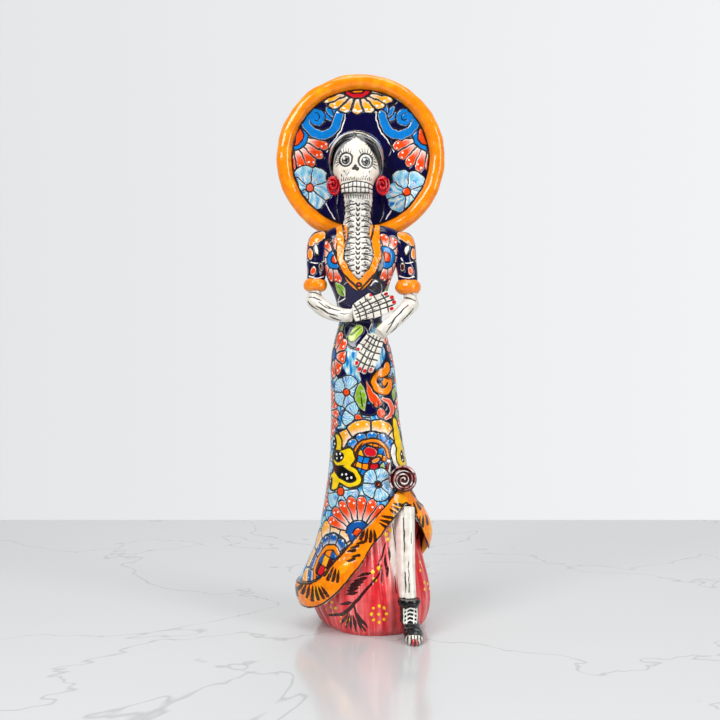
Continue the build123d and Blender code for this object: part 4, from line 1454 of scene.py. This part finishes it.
def paint_chest(cv):
    """Ribs and spine, engraved and inked."""
    verts, normals = cv.verts, cv.normals
    tone = ramp(ripple(verts, 9, 95), -0.4, 1.0)
    cv.fill[:] = blend(rgb(232, 228, 220), rgb(198, 192, 182), 0.5 * tone)
    cv.mask = normals[:, 1] < 0.6
    mid = -2.0
    x = verts[:, 0] - mid
    level = verts[:, 2] + 0.02 * x**2
    rib = (level / 5.6) % 1
    bulge = np.sin(rib * pi) ** 0.7
    strength = ramp(np.abs(x), 2.2, 4.5) * cv.mask * (1 - ramp(verts[:, 2], 425, 432))
    cv.height += 0.9 * (bulge - 0.6) * strength
    rng = np.random.default_rng(5)
    for z in np.arange(346, 422, 5.6):
        for side in (-1, 1):
            a, b = 3.2 + rng.uniform(0, 1.2), 12 + rng.uniform(0, 3)
            lift = rng.uniform(-0.6, 0.6)
            rib_line = [(a, z + 0.4), ((a + b) / 2, z + lift), (b, z - 1.6)]
            brush(cv, curve(*[(mid + side * u, v) for u, v in rib_line]), [1.3, 1.0, 0.5])
            for drop in (1.6, 3.0, 4.2):
                start = (mid + side * (a + rng.uniform(1, 5)), z + drop)
                brush(cv, [start, (mid + side * (b - 2), z + drop - 0.6)], [0.6, 0.3])
    for z in np.arange(350, 420, 4.9):
        wide = 1.6 + rng.uniform(0, 0.6)
        brush(cv, [(mid - wide, z + 1.6), (mid - 0.6, z - 0.9)], [1.0, 1.7])
        brush(cv, [(mid + wide, z + 1.4), (mid + 0.5, z - 0.9)], [1.0, 1.5])
    for k in range(11):
        brush(cv, [(mid - 12 + 2.4 * k, 428.4), (mid - 11.4 + 2.3 * k, 425 - k % 2)], [0.7, 0.35])
    for px, pz in ((-12, 361), (-10.5, 351.5), (6.5, 351.5), (-12, 373)):
        near, a, b = cv.around((px, pz), 3)
        cv.rule(near, np.hypot(a, b) - 1.1)
    cv.mask[:] = True


sculpt("ribs_and_neck", "chest_and_neck", 0.6, BONE, paint_chest)


# ================================================================ arms, hands and leg


def bone_tone(cv, seed):
    """Bone glaze, shaded in soft patches."""
    tone = ramp(ripple(cv.verts, 9, seed), -0.5, 1.0)
    cv.fill[:] = blend(rgb(234, 229, 219), rgb(202, 192, 178), 0.55 * tone)


def paint_forearm(lines):
    """A painter of thin ink lines along an arm bone."""

    def painter(cv):
        bone_tone(cv, 101)
        cv.mask = cv.normals[:, 1] < 0.5
        for path, width in lines:
            brush(cv, curve(*path), [width * 0.5, width, width * 0.4])
        cv.mask[:] = True

    return painter


RIGHT_LINES = [
    ([(-51, 327), (-45, 326.5), (-38, 323)], 1.4),
    ([(-50, 332), (-44, 331.5), (-38, 329)], 1.0),
    ([(-52, 323), (-47, 318), (-41, 314)], 1.2),
    ([(-43, 318.5), (-33, 312), (-22, 307.5)], 1.5),
    ([(-34, 319.5), (-27, 315), (-19, 313)], 1.2),
    ([(-41, 322.5), (-35, 317.5), (-29, 315)], 1.0),
    ([(-30, 308), (-24, 304.8), (-18, 303.6)], 1.1),
    ([(-20, 310.5), (-15, 309.5), (-10, 310)], 0.9),
]
LEFT_LINES = [
    ([(43, 327), (49, 326), (55, 323)], 1.4),
    ([(44, 331), (49, 331.4), (54, 329)], 1.0),
    ([(47.5, 319), (39, 311), (31.5, 303)], 1.5),
    ([(42.5, 315), (35.5, 307), (27.5, 299)], 1.1),
    ([(52.5, 316), (47, 309), (41, 302.5)], 1.1),
    ([(34.5, 306.5), (30, 299), (25.5, 291.5)], 1.3),
    ([(38, 300.5), (33, 294), (28, 289)], 0.9),
]
sculpt("arm_bone_right", "forearm_right", 0.6, BONE, paint_forearm(RIGHT_LINES))
sculpt("arm_bone_left", "forearm_left", 0.6, BONE, paint_forearm(LEFT_LINES))


def paint_hand(wrist, tip, thumb_side):
    """Finger bones ruled on the back of the hand, with red nails."""
    start, end = Vector(wrist), Vector(tip)
    length = (end - start).length
    along = (end - start).normalized()
    across = along.cross(Vector((0, 1, 0))).normalized()

    def painter(cv):
        bone_tone(cv, 111)
        rel = cv.verts - np.array(start)
        u, v = rel @ np.array(along), rel @ np.array(across)
        cv.x, cv.y = u, v
        cv.mask = cv.normals @ np.array(along.cross(across)) > -0.3
        if cv.normals[:, 1][cv.mask].mean() > 0:
            cv.mask = ~cv.mask
        for k in range(-1, 2):
            brush(cv, [(length * 0.06, k * 3.4), (length * 0.96, k * 5.1)], [1.0, 1.5])
        for s in (0.1, 0.24, 0.4, 0.57, 0.74):
            brush(cv, curve((length * s, -9.5), (length * (s + 0.035), 0), (length * s, 9.5)), [1.1, 1.2])
        for k in range(4):
            crease = (length * (0.14 + 0.19 * k), (k - 1.5) * 5)
            brush(cv, [crease, (length * (0.3 + 0.19 * k), (k - 1.5) * 5.1)], [0.5, 0.4])
        brush(cv, [(length * 0.1, thumb_side * 6.2), (length * 0.5, thumb_side * 8.6)], [0.9, 0.9])
        brush(cv, [(length * 0.36, thumb_side * 8), (length * 0.38, thumb_side * 13)], [0.8, 0.8])
        for finger, reach in enumerate((0.9, 1.0, 0.99, 0.9)):
            near, x, y = cv.around((length * (reach - 0.07), (finger - 1.5) * 5.1), 5)
            cv.dab(near, np.hypot(x / 1.3, y) - 1.6)
        near, x, y = cv.around((length * 0.52, thumb_side * 12), 5)
        cv.dab(near, np.hypot(x / 1.2, y) - 1.5)
        cv.mask[:] = True

    return painter


sculpt("bony_hand_right", "hand_right", 0.45, BONE, paint_hand((-7, -23, 308.6), (35, -19.5, 325), 1),
       groove=0.7, smooth=4)
sculpt("bony_hand_left", "hand_left", 0.45, BONE, paint_hand((17.5, -21.5, 289), (0.5, -28, 252), -1),
       groove=0.7, smooth=4)


def paint_shin(cv):
    """Two bones side by side."""
    bone_tone(cv, 121)
    cv.mask = cv.normals[:, 1] < 0.6
    groove = 41.6 - (cv.verts[:, 2] - 40) * 0.004
    x = cv.verts[:, 0] - groove
    cv.height -= 1.3 * (1 - ramp(np.abs(x), 0.2, 2.4)) * cv.mask
    cv.fill[:] = blend(cv.fill, rgb(232, 196, 192), ramp(-x, 0, 3) * 0.7)
    brush(cv, curve((41.8, 112), (42.6, 96), (42.8, 80)), [0.8, 1.6, 0.5])
    brush(cv, curve((43, 62), (43.4, 52), (43.6, 44)), [0.6, 1.5, 0.5])
    brush(cv, [(46.5, 72), (46.8, 44)], [0.5, 0.8])
    brush(cv, [(49.5, 98), (49.6, 88)], [0.4, 0.7])
    cv.mask[:] = True


sculpt("shin_bones", "shin_bone", 0.6, BONE, paint_shin)


def leather(verts):
    """Black leather with grey wear."""
    return blend(INK, rgb(84, 86, 90), ramp(ripple(verts, 6, 131), 0.35, 1.0))


def paint_boot(cv):
    """Black leather with white laces."""
    cv.fill[:] = leather(cv.verts)
    cv.mask = cv.normals[:, 1] < 0.3
    for k in range(4):
        z = 17 + k * 3.6
        thin_line(cv, [(41.5, z), (47, z + 3.2), (53.5, z + 0.6)], 1.1)
    for x in (41.2, 44, 50.6, 53.6):
        thin_line(cv, [(x, 17), (x + 0.4, 30)], 0.9)
    cv.mask[:] = True


def paint_toes(cv):
    """Bony toes below the boot's black vamp."""
    bone_tone(cv, 141)
    for k in range(-2, 3):
        brush(cv, [(50.4 + k * 3.0, 16), (50.4 + k * 3.2, 0)], [1.2, 1.2])
    near, x, _ = cv.around((50, 3), 20)
    cv.dab(near, np.where(cv.verts[near, 1] < -79.4, np.abs((x / 3.1) % 1 - 0.5) * 3 - 0.9, FAR_AWAY))
    vamp = ramp(cv.verts[:, 2] + 0.9 * cv.verts[:, 1] + 0.8 * ripple(cv.verts, 4, 142), -58.6, -57.6)
    cv.fill[:] = blend(cv.fill, leather(cv.verts), vamp)
    cv.ink[:] = np.where(vamp > 0.5, FAR_AWAY, cv.ink)
    cv.dots[:] = np.where(vamp > 0.5, FAR_AWAY, cv.dots)


sculpt("laced_boot", "ankle_boot", 0.5, INK, paint_boot, hand_rolled(8, 0.25, 132), slot="boot_glaze")
sculpt("boot_collar", "boot_cuff", 0.5, INK, None, hand_rolled(7, 0.3, 133), slot="boot_glaze")
sculpt("toe_bones", "foot_bones", 0.45, BONE, paint_toes)


# ================================================================ CAD pieces that stay


def keep(node, material, slot):
    """A CAD node that stays as it is, glazed."""
    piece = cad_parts[node]
    piece.data.materials.clear()
    piece.data.materials.append(material)


keep("base_plate", BARE_CLAY, "bare_clay")
for node in ("skirt_shell", "bodice_shell", "sleeve_right", "sleeve_left"):
    keep(node, UNDER_GLAZE, "dress_glaze")
keep("hat_brim", UNDER_GLAZE, "hat_glaze")
keep("underskirt", plain_glaze("rose_glaze", ROSE), "underskirt_glaze")


# ================================================================ studio


def build_floor():
    """A pale polished floor with thin veins, which ends behind the figure."""
    mesh = bpy.data.meshes.new("floor")
    back, reach = 0.69, 4.0
    corners = [(-reach, -reach, 0), (reach, -reach, 0), (reach, back, 0), (-reach, back, 0)]
    mesh.from_pydata(corners, [], [(0, 1, 2, 3)])
    floor = bpy.data.objects.new("floor", mesh)
    bpy.context.scene.collection.objects.link(floor)
    material, make, place = new_material("floor")
    off_vein = worked(make, "ABSOLUTE", worked(make, "ADD", noise(make, place, 2.6, 5.0, 0.6), -0.5))
    vein = mapped(make, off_vein, 0.0, 0.004, 0.4, 0.0)
    marble = mixed(make, vein, (0.56, 0.57, 0.575, 1), (0.2, 0.2, 0.2, 1))
    surface(make, {"Base Color": marble, "Roughness": 0.14, "Specular IOR Level": 0.5})
    mesh.materials.append(material)


def area_light(name, place, target, size, power):
    """A lamp. One behind the figure lights its edges but is not mirrored in the floor."""
    data = bpy.data.lights.new(name, "AREA")
    data.shape = "RECTANGLE"
    data.size, data.size_y = size
    data.energy = power
    light = bpy.data.objects.new(name, data)
    light.location = place
    light.rotation_euler = (Vector(target) - Vector(place)).to_track_quat("-Z", "Y").to_euler()
    light.visible_glossy = place[1] < 0.5
    bpy.context.scene.collection.objects.link(light)


def build_world():
    """A pale wall for the camera, and a room bright behind the figure and dimmer in front."""
    world = bpy.data.worlds.new("studio")
    make = node_maker(world)
    way = make("ShaderNodeTexCoord").outputs["Generated"]
    parts = make("ShaderNodeSeparateXYZ", {"Vector": way}).outputs
    wall = mapped(make, parts["X"], -0.35, 0.35, 0.79, 0.9)
    room = mapped(make, parts["Y"], -0.3, 0.9, 0.1, 0.8)
    seen = make("ShaderNodeLightPath").outputs["Is Camera Ray"]
    level = make("ShaderNodeMix", {0: seen, 2: room, 3: wall}, data_type="FLOAT").outputs[0]
    back = make("ShaderNodeBackground", {"Color": (0.985, 1.0, 1.01, 1), "Strength": level}).outputs[0]
    make("ShaderNodeOutputWorld", {"Surface": back})
    return world


def build_studio():
    build_floor()
    area_light("key", (-0.9, -1.3, 1.25), (0, 0, 0.3), (0.8, 0.8), 25)
    area_light("fill", (1.3, -1.0, 0.8), (0, 0, 0.28), (0.5, 1.1), 15)
    area_light("top", (0.1, -0.3, 1.7), (0, 0, 0.2), (1.0, 1.0), 11)
    area_light("back", (0.3, 1.6, 1.0), (0, 0, 0.3), (1.0, 0.8), 9)
    world = build_world()
    scene = bpy.context.scene
    scene.world = world
    scene.view_settings.view_transform = "Standard"
    camera_data = bpy.data.cameras.new("camera")
    camera_data.lens = 52.5
    camera_data.sensor_width = 36.0
    camera = bpy.data.objects.new("camera", camera_data)
    camera.location = (0, -1.05, 0.265)
    camera.rotation_euler = (pi / 2, 0, 0)
    scene.collection.objects.link(camera)
    scene.camera = camera


build_studio()
